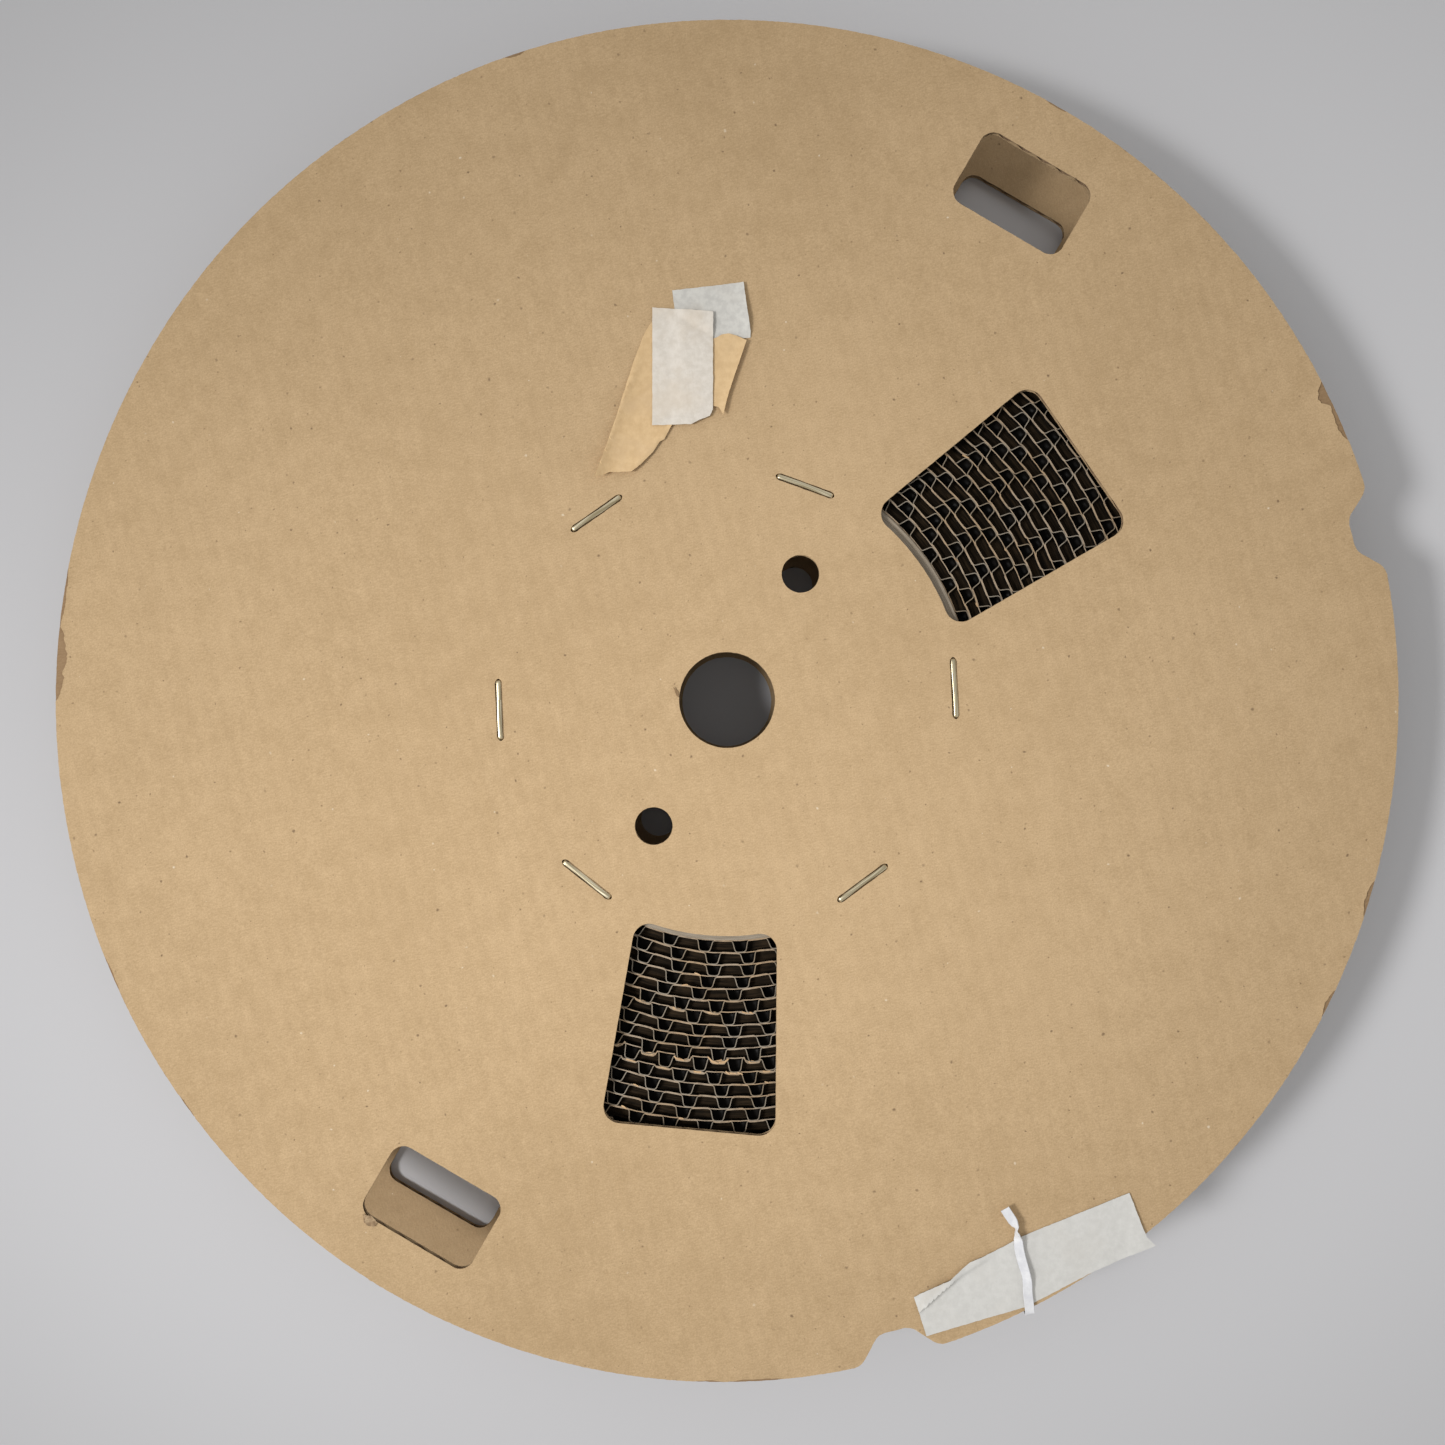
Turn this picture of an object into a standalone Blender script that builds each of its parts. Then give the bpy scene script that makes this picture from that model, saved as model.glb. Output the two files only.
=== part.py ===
"""A 22 inch corrugated-board reel, full of embossed carrier tape.

The reel lies on its rear flange. +Z is the reel's axis and points out of the front flange, and the
origin is on the axis, level with the lowest staple crowns. Lengths below are in millimetres, and angles
are in degrees, counter-clockwise from +X as seen from the front.
"""

import math

import bmesh
import bpy

MM = 0.001

# --- driving dimensions --------------------------------------------------------------------------
REEL_DIAMETER = 558.8
TAPE_WIDTH = 44.0
INNER_WIDTH = 45.6
LINER = 0.35
FLUTING = 1.9
GAP = 0.3
CROWN_GAP = 0.1

# The die that cuts a flange is symmetric about one line, so a flange turned over on that line still matches.
DIE_AXIS = -30.2
WINDOW_OFFSET = 65.0
NOTCH_OFFSET = 45.0
HOLE_OFFSET = 90.0

ARBOR_HOLE_DIAMETER = 39.6
DRIVE_HOLE_DIAMETER = 15.6
DRIVE_HOLE_CIRCLE = 120.4

HAND_HOLE_CENTRE = 241.4
HAND_HOLE_LENGTH = 51.5
HAND_HOLE_WIDTH = 32.8
HAND_HOLE_CORNER = 6.0

WINDOW_INNER = 97.4
WINDOW_OUTER = 177.8
WINDOW_INNER_WIDTH = 58.4
WINDOW_OUTER_WIDTH = 72.6
WINDOW_CORNER = 7.0

NOTCH_MOUTH = 33.5
NOTCH_FLOOR = 13.5
NOTCH_DEPTH = 11.2
NOTCH_CORNER = 7.0
NOTCH_LEAD = 2.0

HUB_OUTER_DIAMETER = 203.6
HUB_WALL = 4.0
TAB_THICKNESS = 1.2
TAB_REACH = 24.0
TAB_WIDTH = 44.0
TAB_TAPER = 4.0
TAB_BITE = 0.8
TAB_INSET = 0.05

STAPLE_RADIUS = 94.0
STAPLE_CROWN = 24.6
STAPLE_CLINCH = 8.0
WIRE_WIDTH = 2.4
WIRE_THICKNESS = 0.6
SLOT_CLEARANCE = 0.3
FRONT_STAPLE_ANGLES = (3.0, 70.0, 125.0, 182.5, 232.0, 306.5)
REAR_STAPLE_TURN = 4.0

PACK_OUTER_DIAMETER = 400.0
PACK_GAP = 0.5
END_TAPE_WIDTH = 26.0
END_TAPE_START = 150.0
END_TAPE_SWEEP = 15.0

PAPER = 0.2
PAPER_GAP = 0.2
RIM_STRIP_THICKNESS = 0.8
TIE_WIDTH = 4.0
TIE_THICKNESS = 1.0

RIM_STEPS = 96
HUB_STEPS = 48
ARBOR_STEPS = 32
DRIVE_STEPS = 20
WINDOW_STEPS = 6
CORNER_STEPS = 3
END_TAPE_STEPS = 5

# --- levels along the axis -----------------------------------------------------------------------
BOARD = 2 * LINER + 2 * GAP + FLUTING
REAR_FACE = WIRE_THICKNESS + CROWN_GAP
REAR_INNER = REAR_FACE + BOARD
FRONT_INNER = REAR_INNER + INNER_WIDTH
FRONT_FACE = FRONT_INNER + BOARD
MIDDLE = (REAR_FACE + FRONT_FACE) / 2

# Paper scraps on the front face: corner points, and the level in the stack that each lies on.
SCRAPS = {
    "masking_scrap_top": (0, [(-22.5, 169.0), (6.6, 172.0), (9.8, 149.3), (-20.0, 148.6)]),
    "masking_scrap_tan_left": (
        0,
        [
            (-31.0, 155.0), (-26.0, 155.0), (-22.8, 113.0), (-25.6, 108.9),
            (-30.5, 102.3), (-39.2, 94.1), (-47.9, 94.1), (-54.0, 91.6),
        ],
    ),
    "masking_scrap_tan_right": (
        0,
        [(-12.0, 148.0), (8.2, 148.0), (-1.7, 117.2), (-3.3, 120.5), (-12.0, 121.0)],
    ),
    "masking_scrap_white": (
        1,
        [(-30.9, 161.7), (-5.8, 160.1), (-5.8, 119.6), (-8.0, 116.4), (-14.4, 113.4), (-30.9, 113.0)],
    ),
}
RIM_STRIP = [
    (76.7, -245.8), (81.7, -261.5), (151.8, -235.1), (176.1, -224.4), (170.8, -217.4), (165.4, -203.4),
]

# The tie's route: x, y, height above the front face, and how far its flat side is turned about the route.
TIE_ROUTE = [
    (114.3, -209.6, 5.2, 0), (116.8, -213.2, 4.6, 20), (118.6, -216.8, 4.0, 80), (119.4, -221.5, 3.2, 60),
    (120.0, -227.7, 2.4, 10), (121.4, -232.0, 2.2, 0), (122.8, -236.4, 2.1, 0), (123.2, -242.0, 2.0, 0),
    (123.6, -247.6, 2.0, 0), (124.2, -251.6, 1.2, 0), (124.5, -252.9, -1.6, 0), (124.6, -253.0, -6.0, 0),
]


# --- points --------------------------------------------------------------------------------------
def polar(radius, angle):
    """The point at that radius and angle."""
    turn = math.radians(angle)
    return (radius * math.cos(turn), radius * math.sin(turn))


def placed(points, radius, angle):
    """Points given as (outward, sideways) from a spot at that radius and angle, in the reel's own X and Y."""
    turn = math.radians(angle)
    along = (math.cos(turn), math.sin(turn))
    return [
        (along[0] * (radius + u) - along[1] * v, along[1] * (radius + u) + along[0] * v)
        for u, v in points
    ]


def circle(radius, steps, centre=(0.0, 0.0)):
    """A round outline."""
    return [
        (centre[0] + x, centre[1] + y)
        for x, y in (polar(radius, 360 * i / steps) for i in range(steps))
    ]


def rounded(points, radius, corners):
    """The closed outline with the numbered corners made round."""
    result = []
    for i, (x, y) in enumerate(points):
        if i not in corners:
            result.append((x, y))
            continue
        ax, ay = points[i - 1][0] - x, points[i - 1][1] - y
        bx, by = points[(i + 1) % len(points)][0] - x, points[(i + 1) % len(points)][1] - y
        la, lb = math.hypot(ax, ay), math.hypot(bx, by)
        ax, ay, bx, by = ax / la, ay / la, bx / lb, by / lb
        half = math.acos(max(-1.0, min(1.0, ax * bx + ay * by))) / 2
        tangent = radius / math.tan(half)
        mx, my = ax + bx, ay + by
        reach = radius / math.sin(half) / math.hypot(mx, my)
        cx, cy = x + mx * reach, y + my * reach
        start = math.atan2(y + ay * tangent - cy, x + ax * tangent - cx)
        end = math.atan2(y + by * tangent - cy, x + bx * tangent - cx)
        sweep = (end - start + math.pi) % (2 * math.pi) - math.pi
        for k in range(CORNER_STEPS + 1):
            turn = start + sweep * k / CORNER_STEPS
            result.append((cx + radius * math.cos(turn), cy + radius * math.sin(turn)))
    return result


def rectangle(length_u, length_v):
    """Four corners, centred on the origin."""
    u, v = length_u / 2, length_v / 2
    return [(-u, -v), (u, -v), (u, v), (-u, v)]


def hand_hole(angle):
    """A round-cornered slot whose long side runs around the reel."""
    slot = rounded(rectangle(HAND_HOLE_WIDTH, HAND_HOLE_LENGTH), HAND_HOLE_CORNER, range(4))
    return placed(slot, HAND_HOLE_CENTRE, angle)


def window(angle):
    """A window that widens outwards, with its inner edge along the hub."""
    half = math.degrees(math.asin(WINDOW_INNER_WIDTH / 2 / WINDOW_INNER))
    inner = [polar(WINDOW_INNER, half - 2 * half * i / WINDOW_STEPS) for i in range(WINDOW_STEPS + 1)]
    outer = [(WINDOW_OUTER, -WINDOW_OUTER_WIDTH / 2), (WINDOW_OUTER, WINDOW_OUTER_WIDTH / 2)]
    corners = (0, WINDOW_STEPS, WINDOW_STEPS + 1, WINDOW_STEPS + 2)
    return placed(rounded(inner + outer, WINDOW_CORNER, corners), 0.0, angle)


def rim():
    """The flange's outer edge, with its two notches."""
    radius = REEL_DIAMETER / 2
    reach = math.degrees(math.asin(NOTCH_MOUTH / 2 / radius))
    bottom = radius - NOTCH_DEPTH
    notch = [
        polar(radius, -reach - NOTCH_LEAD), polar(radius, -reach), (bottom, -NOTCH_FLOOR / 2),
        (bottom, NOTCH_FLOOR / 2), polar(radius, reach), polar(radius, reach + NOTCH_LEAD),
    ]
    notch = rounded(notch, NOTCH_CORNER, (1, 2, 3, 4))
    middles = [(DIE_AXIS + side * NOTCH_OFFSET) % 360 for side in (1, -1)]
    points = []
    for i in range(RIM_STEPS):
        angle = 360 * i / RIM_STEPS
        if all(abs(angle - middle) > reach + NOTCH_LEAD for middle in middles):
            points.append((angle, [polar(radius, angle)]))
    points += [(middle, placed(notch, 0.0, middle)) for middle in middles]
    return [point for _, group in sorted(points) for point in group]


def staple_slots(angles):
    """The pierced slots for both legs of each staple."""
    leg = (STAPLE_CROWN - WIRE_THICKNESS) / 2
    slot = rectangle(WIRE_WIDTH + 2 * SLOT_CLEARANCE, WIRE_THICKNESS + 2 * SLOT_CLEARANCE)
    return [
        placed([(u, v + side * leg) for u, v in slot], STAPLE_RADIUS, angle)
        for angle in angles
        for side in (-1, 1)
    ]


def flange_outlines(angles):
    """The flange's edge and every hole in it."""
    drive = [polar(DRIVE_HOLE_CIRCLE / 2, DIE_AXIS + side * HOLE_OFFSET) for side in (1, -1)]
    return [
        rim(),
        circle(ARBOR_HOLE_DIAMETER / 2, ARBOR_STEPS),
        *[circle(DRIVE_HOLE_DIAMETER / 2, DRIVE_STEPS, centre) for centre in drive],
        *[hand_hole(DIE_AXIS + side * HOLE_OFFSET) for side in (1, -1)],
        *[window(DIE_AXIS + side * WINDOW_OFFSET) for side in (1, -1)],
        *staple_slots(angles),
    ]


# --- solids --------------------------------------------------------------------------------------
def material(name, color, roughness, metallic=0.0):
    """A Principled material."""
    made = bpy.data.materials.new(name)
    made.use_nodes = True
    shader = made.node_tree.nodes["Principled BSDF"]
    shader.inputs["Base Color"].default_value = (*color, 1.0)
    shader.inputs["Roughness"].default_value = roughness
    shader.inputs["Metallic"].default_value = metallic
    return made


def add(name, mesh, finish, parent):
    """An object of that mesh, with its material, under its parent."""
    thing = bpy.data.objects.new(name, mesh)
    thing.data.materials.append(finish)
    thing.parent = parent
    bpy.context.scene.collection.objects.link(thing)
    return thing


def finished(build, name):
    """A mesh of that bmesh, with its faces pointing out."""
    bmesh.ops.recalc_face_normals(build, faces=build.faces)
    mesh = bpy.data.meshes.new(name)
    build.to_mesh(mesh)
    build.free()
    return mesh


def plate(name, outlines, low, high):
    """A flat plate between two levels: the first outline is its edge, and the others are its holes."""
    curve = bpy.data.curves.new(name, "CURVE")
    curve.dimensions = "2D"
    curve.fill_mode = "BOTH"
    curve.extrude = (high - low) / 2 * MM
    for outline in outlines:
        spline = curve.splines.new("POLY")
        spline.points.add(len(outline) - 1)
        for point, (x, y) in zip(spline.points, outline):
            point.co = (x * MM, y * MM, 0.0, 1.0)
        spline.use_cyclic_u = True
    guide = bpy.data.objects.new(name + "_outline", curve)
    bpy.context.scene.collection.objects.link(guide)
    bpy.context.view_layer.update()
    evaluated = guide.evaluated_get(bpy.context.evaluated_depsgraph_get())
    mesh = bpy.data.meshes.new_from_object(evaluated)
    bpy.data.objects.remove(guide)
    bpy.data.curves.remove(curve)
    build = bmesh.new()
    build.from_mesh(mesh)
    bmesh.ops.remove_doubles(build, verts=build.verts, dist=0.001 * MM)
    bmesh.ops.translate(build, verts=build.verts, vec=(0.0, 0.0, (low + high) / 2 * MM))
    return finished(build, name)


def turned(name, profile, steps):
    """The mesh of a closed (radius, level) profile turned about the reel's axis."""
    build = bmesh.new()
    rings = []
    for i in range(steps):
        ring = []
        for radius, level in profile:
            x, y = polar(radius, 360 * i / steps)
            ring.append(build.verts.new((x * MM, y * MM, level * MM)))
        rings.append(ring)
    count = len(profile)
    for i, ring in enumerate(rings):
        after = rings[(i + 1) % steps]
        for k in range(count):
            n = (k + 1) % count
            build.faces.new((ring[k], after[k], after[n], ring[n]))
    return finished(build, name)


def box_profile(inner, outer, low, high):
    """A rectangular (radius, level) profile."""
    return [(inner, low), (outer, low), (outer, high), (inner, high)]


def flange(side, face, inner, angles, kraft, medium, parent):
    """One flange of corrugated board: an outer liner, the fluting and an inner liner."""
    outlines = flange_outlines(angles)
    way = 1 if inner > face else -1
    level = face
    for layer, thickness, finish in (
        ("outer_liner", LINER, kraft), ("fluting", FLUTING, medium), ("inner_liner", LINER, kraft),
    ):
        low, high = sorted((level, level + way * thickness))
        name = side + "_" + layer
        add(name, plate(name, outlines, low, high), finish, parent)
        level += way * (thickness + GAP)


def hub(front_angles, rear_angles, finish, parent):
    """The hub ring, with a folded-in tab under each staple at both of its ends."""
    low, high = REAR_INNER + GAP, FRONT_INNER - GAP
    outer = HUB_OUTER_DIAMETER / 2
    inner = outer - HUB_WALL
    tube = turned("hub_ring", box_profile(inner, outer, low, high), HUB_STEPS)
    ring = add("hub_ring", tube, finish, parent)
    tip, root = inner - TAB_REACH, inner + TAB_BITE
    tip_half, root_half = TAB_WIDTH / 2 - TAB_TAPER, TAB_WIDTH / 2
    outline = [(tip, -tip_half), (root, -root_half), (root, root_half), (tip, tip_half)]
    for end, angles, tab_low in (
        ("front", front_angles, high - TAB_THICKNESS - TAB_INSET),
        ("rear", rear_angles, low + TAB_INSET),
    ):
        for number, angle in enumerate(angles, 1):
            name = f"{end}_tab_{number}"
            outlines = [placed(outline, 0.0, angle), *staple_slots((angle,))]
            tab = add(name, plate(name, outlines, tab_low, tab_low + TAB_THICKNESS), finish, parent)
            tab.hide_render = True
            tab.display_type = "WIRE"
            join = ring.modifiers.new(name, "BOOLEAN")
            join.operation = "UNION"
            join.solver = "EXACT"
            join.object = tab
    return ring


def staple(name, angle, crown_level, way, finish, parent):
    """A flat-wire staple: a crown on the flange, and legs through board and tab that are clinched behind."""
    half = STAPLE_CROWN / 2
    top = WIRE_THICKNESS
    behind = -(CROWN_GAP + BOARD + GAP + TAB_INSET + TAB_THICKNESS + CROWN_GAP)
    bottom = behind - WIRE_THICKNESS
    tip = half - STAPLE_CLINCH
    leg = half - WIRE_THICKNESS
    profile = [
        (-half, top), (half, top), (half, bottom), (tip, bottom), (tip, behind), (leg, behind), (leg, 0.0),
        (-leg, 0.0), (-leg, behind), (-tip, behind), (-tip, bottom), (-half, bottom),
    ]
    build = bmesh.new()
    sides = []
    for across in (-WIRE_WIDTH / 2, WIRE_WIDTH / 2):
        sides.append([])
        for along, rise in profile:
            x, y = placed([(across, along)], STAPLE_RADIUS, angle)[0]
            sides[-1].append(build.verts.new((x * MM, y * MM, (crown_level + way * rise) * MM)))
    build.faces.new(sides[0])
    build.faces.new(sides[1])
    for k in range(len(profile)):
        n = (k + 1) % len(profile)
        build.faces.new((sides[0][k], sides[0][n], sides[1][n], sides[1][k]))
    return add(name, finished(build, name), finish, parent)


def end_tape(finish, parent):
    """The strip of masking tape that holds the carrier tape's outer end down on the pack."""
    radius = PACK_OUTER_DIAMETER / 2 + GAP
    angles = [END_TAPE_START + END_TAPE_SWEEP * i / END_TAPE_STEPS for i in range(END_TAPE_STEPS + 1)]
    outline = [polar(radius, angle) for angle in angles]
    outline += [polar(radius + PAPER, angle) for angle in reversed(angles)]
    mesh = plate("pack_end_tape", [outline], MIDDLE - END_TAPE_WIDTH / 2, MIDDLE + END_TAPE_WIDTH / 2)
    return add("pack_end_tape", mesh, finish, parent)


def scrap(name, level, outline, finish, parent):
    """A scrap of masking tape on the front face."""
    low = FRONT_FACE + PAPER_GAP + level * (PAPER + PAPER_GAP)
    return add(name, plate(name, [outline], low, low + PAPER), finish, parent)


def twisted_tie(finish, parent):
    """A narrow paper strip: flat at its free end, twisted, then laid over the rim."""
    build = bmesh.new()
    rings = []
    for i, (x, y, lift, turn) in enumerate(TIE_ROUTE):
        before = TIE_ROUTE[max(i - 1, 0)]
        after = TIE_ROUTE[min(i + 1, len(TIE_ROUTE) - 1)]
        dx, dy, dz = (after[k] - before[k] for k in range(3))
        length = math.sqrt(dx * dx + dy * dy + dz * dz)
        flat = math.hypot(dx, dy)
        side = (-dy / flat, dx / flat, 0.0)
        up = (-dx * dz / flat / length, -dy * dz / flat / length, flat / length)
        angle = math.radians(turn)
        ring = []
        for u, v in rectangle(TIE_WIDTH, TIE_THICKNESS):
            s = u * math.cos(angle) - v * math.sin(angle)
            t = u * math.sin(angle) + v * math.cos(angle)
            ring.append(build.verts.new([
                (x + side[0] * s + up[0] * t) * MM,
                (y + side[1] * s + up[1] * t) * MM,
                (FRONT_FACE + lift + side[2] * s + up[2] * t) * MM,
            ]))
        rings.append(ring)
    for here, there in zip(rings, rings[1:]):
        for k in range(4):
            n = (k + 1) % 4
            build.faces.new((here[k], here[n], there[n], there[k]))
    build.faces.new(rings[0])
    build.faces.new(rings[-1])
    return add("twisted_tie", finished(build, "twisted_tie"), finish, parent)


def main():
    for thing in list(bpy.data.objects):
        bpy.data.objects.remove(thing)
    reel = bpy.data.objects.new("reel", None)
    bpy.context.scene.collection.objects.link(reel)

    kraft = material("kraft_liner", (0.56, 0.42, 0.26), 0.85)
    medium = material("corrugated_medium", (0.42, 0.29, 0.17), 0.9)
    fibre = material("hub_fibreboard", (0.52, 0.47, 0.40), 0.85)
    steel = material("staple_wire", (0.72, 0.68, 0.58), 0.3, 1.0)
    tape = material("carrier_tape", (0.03, 0.025, 0.02), 0.45)
    masking = material("masking_paper", (0.78, 0.76, 0.71), 0.8)
    tan = material("aged_masking_paper", (0.69, 0.51, 0.31), 0.75)
    tie = material("tie_strip", (0.85, 0.86, 0.88), 0.6)

    rear_angles = tuple(angle + REAR_STAPLE_TURN for angle in FRONT_STAPLE_ANGLES)
    flange("rear", REAR_FACE, REAR_INNER, rear_angles, kraft, medium, reel)
    flange("front", FRONT_FACE, FRONT_INNER, FRONT_STAPLE_ANGLES, kraft, medium, reel)
    hub(FRONT_STAPLE_ANGLES, rear_angles, fibre, reel)
    for number, angle in enumerate(FRONT_STAPLE_ANGLES, 1):
        staple(f"front_staple_{number}", angle, FRONT_FACE + CROWN_GAP, 1, steel, reel)
    for number, angle in enumerate(rear_angles, 1):
        staple(f"rear_staple_{number}", angle, REAR_FACE - CROWN_GAP, -1, steel, reel)

    pack_inner, pack_outer = HUB_OUTER_DIAMETER / 2 + PACK_GAP, PACK_OUTER_DIAMETER / 2
    pack = box_profile(pack_inner, pack_outer, MIDDLE - TAPE_WIDTH / 2, MIDDLE + TAPE_WIDTH / 2)
    add("carrier_tape_pack", turned("carrier_tape_pack", pack, RIM_STEPS), tape, reel)
    end_tape(masking, reel)
    for name, (level, outline) in SCRAPS.items():
        scrap(name, level, outline, tan if "tan" in name else masking, reel)
    strip_low = FRONT_FACE + PAPER_GAP
    strip = plate("rim_masking_strip", [RIM_STRIP], strip_low, strip_low + RIM_STRIP_THICKNESS)
    add("rim_masking_strip", strip, masking, reel)
    twisted_tie(tie, reel)


main()
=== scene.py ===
"""The looks of the carrier tape reel: board, staples, hub, wound tape, paper scraps, floor and light.

Lengths are in millimetres until a mesh is made. Angles are in degrees, anticlockwise from +X.
"""

import random
from math import acos, asin, atan2, cos, degrees, exp, hypot, pi, radians, sin, tan

import bpy
import numpy as np
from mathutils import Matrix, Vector, kdtree, noise
from mathutils.geometry import delaunay_2d_cdt


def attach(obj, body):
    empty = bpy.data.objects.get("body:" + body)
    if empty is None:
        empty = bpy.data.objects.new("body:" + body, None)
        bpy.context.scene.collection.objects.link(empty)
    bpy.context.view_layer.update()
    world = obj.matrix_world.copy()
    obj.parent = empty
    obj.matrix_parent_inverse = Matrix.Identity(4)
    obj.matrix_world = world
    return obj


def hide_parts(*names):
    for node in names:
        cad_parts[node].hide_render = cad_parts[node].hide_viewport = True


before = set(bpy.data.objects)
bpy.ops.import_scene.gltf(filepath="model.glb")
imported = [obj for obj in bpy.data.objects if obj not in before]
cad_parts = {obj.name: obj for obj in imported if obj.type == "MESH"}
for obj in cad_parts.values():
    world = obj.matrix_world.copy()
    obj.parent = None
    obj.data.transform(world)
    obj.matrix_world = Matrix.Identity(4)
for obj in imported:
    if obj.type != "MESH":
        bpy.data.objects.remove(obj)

MM = 0.001
chance = random.Random(11)
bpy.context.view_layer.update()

# --- sizes shared with the CAD part ---
REEL_RADIUS = 279.4
DIE_AXIS = -30.2
WINDOW_OFFSET, NOTCH_OFFSET, HOLE_OFFSET = 65.0, 45.0, 90.0
ARBOR_RADIUS, DRIVE_RADIUS, DRIVE_CIRCLE_RADIUS = 19.8, 7.8, 60.2
HAND_HOLE_CENTRE, HAND_HOLE_LENGTH, HAND_HOLE_WIDTH, HAND_HOLE_CORNER = 241.4, 51.5, 32.8, 6.0
WINDOW_INNER, WINDOW_INNER_WIDTH, WINDOW_CORNER = 97.4, 58.4, 7.0
WINDOW_OUTER, WINDOW_OUTER_WIDTH = 177.8, 72.6
NOTCH_MOUTH, NOTCH_FLOOR, NOTCH_DEPTH, NOTCH_CORNER, NOTCH_LEAD = 33.5, 13.5, 11.2, 7.0, 2.0
HUB_INNER, HUB_OUTER, HUB_LOW, HUB_HIGH = 97.8, 101.8, 4.2, 49.2
TAB_TIP, TAB_THICKNESS, TAB_TIP_HALF, TAB_ROOT_HALF = 73.8, 1.2, 18.0, 22.0
STAPLE_RADIUS, STAPLE_CROWN, STAPLE_CLINCH = 94.0, 24.6, 8.0
FRONT_STAPLES = (3.0, 70.0, 125.0, 182.5, 232.0, 306.5)
REAR_STAPLES = tuple(angle + 4.0 for angle in FRONT_STAPLES)
REAR_FACE, REAR_INNER, FRONT_INNER, FRONT_FACE = 0.7, 3.9, 49.5, 52.7
PACK_OUTER = 200.0

# --- sizes of the finer things ---
SKIN, PLY, LINER, PLY_GAP = 0.13, 0.22, 0.33, 0.01
PLY_TOP = FRONT_FACE - SKIN - PLY_GAP
FLUTE_PITCH, FRONT_FLUTES, REAR_FLUTES = 6.5, 105.0, 15.0
TAPE_LOW, TAPE_HIGH, TAPE_THICKNESS = 4.75, 48.2, 0.38
POCKET_PITCH, TURN_PITCH, FIRST_LINE = 14.4, 5.0, 99.75
TAPE_START, LAST_TURN = -120.0, 18.77
SEEN_TURNS, COVER_TURNS, BIT_TURNS = 15.8, 15.9, 15.4
COVER_HALF, COVER_WIDTH = 0.2, 6.0
ENDS_DOWN = 2.6
PAPER = 0.14
RIM_STEPS = 1200
RIM_DEGREE = 4.9  # the length of one degree along the rim
TRIANGLE_HEIGHT = 0.866

# The hub holds the flanges flat within one radius, and past another the rim is wavy. The foot bends most.
HELD_RADIUS, RIM_ZONE, FOOT_ANGLE, FOOT_REACH = 100.0, 210.0, -108.0, 26.0

# Where the front liner's top ply has come off at the rim: middle, half width and depth.
PEELS = (
    (176.9, 3.2, 4.0), (171.2, 2.6, 1.3), (27.0, 1.1, 4.6), (24.6, 1.9, 2.4), (-17.2, 1.6, 2.2),
    (-26.8, 1.3, 1.6), (108.2, 0.9, 1.3), (-87.6, 2.4, 0.9), (-91.5, 1.2, 0.6), (61.0, 1.0, 0.7),
    (204.0, 1.6, 0.8), (-143.0, 1.2, 0.6),
)


# --- outlines ---
def polar(radius, angle):
    turn = radians(angle)
    return (radius * cos(turn), radius * sin(turn))


def placed(points, radius, angle):
    """Points given as (outward, sideways) from that radius and angle."""
    ux, uy = polar(1.0, angle)
    return [(ux * (radius + u) - uy * v, uy * (radius + u) + ux * v) for u, v in points]


def circle(radius, steps, centre=(0.0, 0.0)):
    spots = (polar(radius, 360 * i / steps) for i in range(steps))
    return [(centre[0] + x, centre[1] + y) for x, y in spots]


def rounded(points, radius, corners, steps=9):
    """The closed outline with the numbered corners made round."""
    result = []
    for i, (x, y) in enumerate(points):
        if i not in corners:
            result.append((x, y))
            continue
        here = Vector((x, y))
        a = (Vector(points[i - 1]) - here).normalized()
        b = (Vector(points[(i + 1) % len(points)]) - here).normalized()
        half = acos(max(-1.0, min(1.0, a.dot(b)))) / 2
        centre = here + (a + b).normalized() * (radius / sin(half))
        first, last = [here + side * (radius / tan(half)) - centre for side in (a, b)]
        start = atan2(first.y, first.x)
        sweep = (atan2(last.y, last.x) - start + pi) % (2 * pi) - pi
        for k in range(steps + 1):
            turn = start + sweep * k / steps
            result.append((centre.x + radius * cos(turn), centre.y + radius * sin(turn)))
    return result


def rectangle(length_u, length_v):
    u, v = length_u / 2, length_v / 2
    return [(-u, -v), (u, -v), (u, v), (-u, v)]


def hand_hole(angle):
    slot = rounded(rectangle(HAND_HOLE_WIDTH, HAND_HOLE_LENGTH), HAND_HOLE_CORNER, range(4))
    return placed(slot, HAND_HOLE_CENTRE, angle)


def window(angle):
    half = degrees(asin(WINDOW_INNER_WIDTH / 2 / WINDOW_INNER))
    steps, corner_steps = 30, 5
    arc = [polar(WINDOW_INNER, half - 2 * half * i / steps) for i in range(steps + 1)]
    arc = [arc[0], *arc[corner_steps:-corner_steps], arc[-1]]
    outer = [(WINDOW_OUTER, -WINDOW_OUTER_WIDTH / 2), (WINDOW_OUTER, WINDOW_OUTER_WIDTH / 2)]
    count = len(arc)
    return placed(rounded(arc + outer, WINDOW_CORNER, (0, count - 1, count, count + 1)), 0.0, angle)


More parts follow.
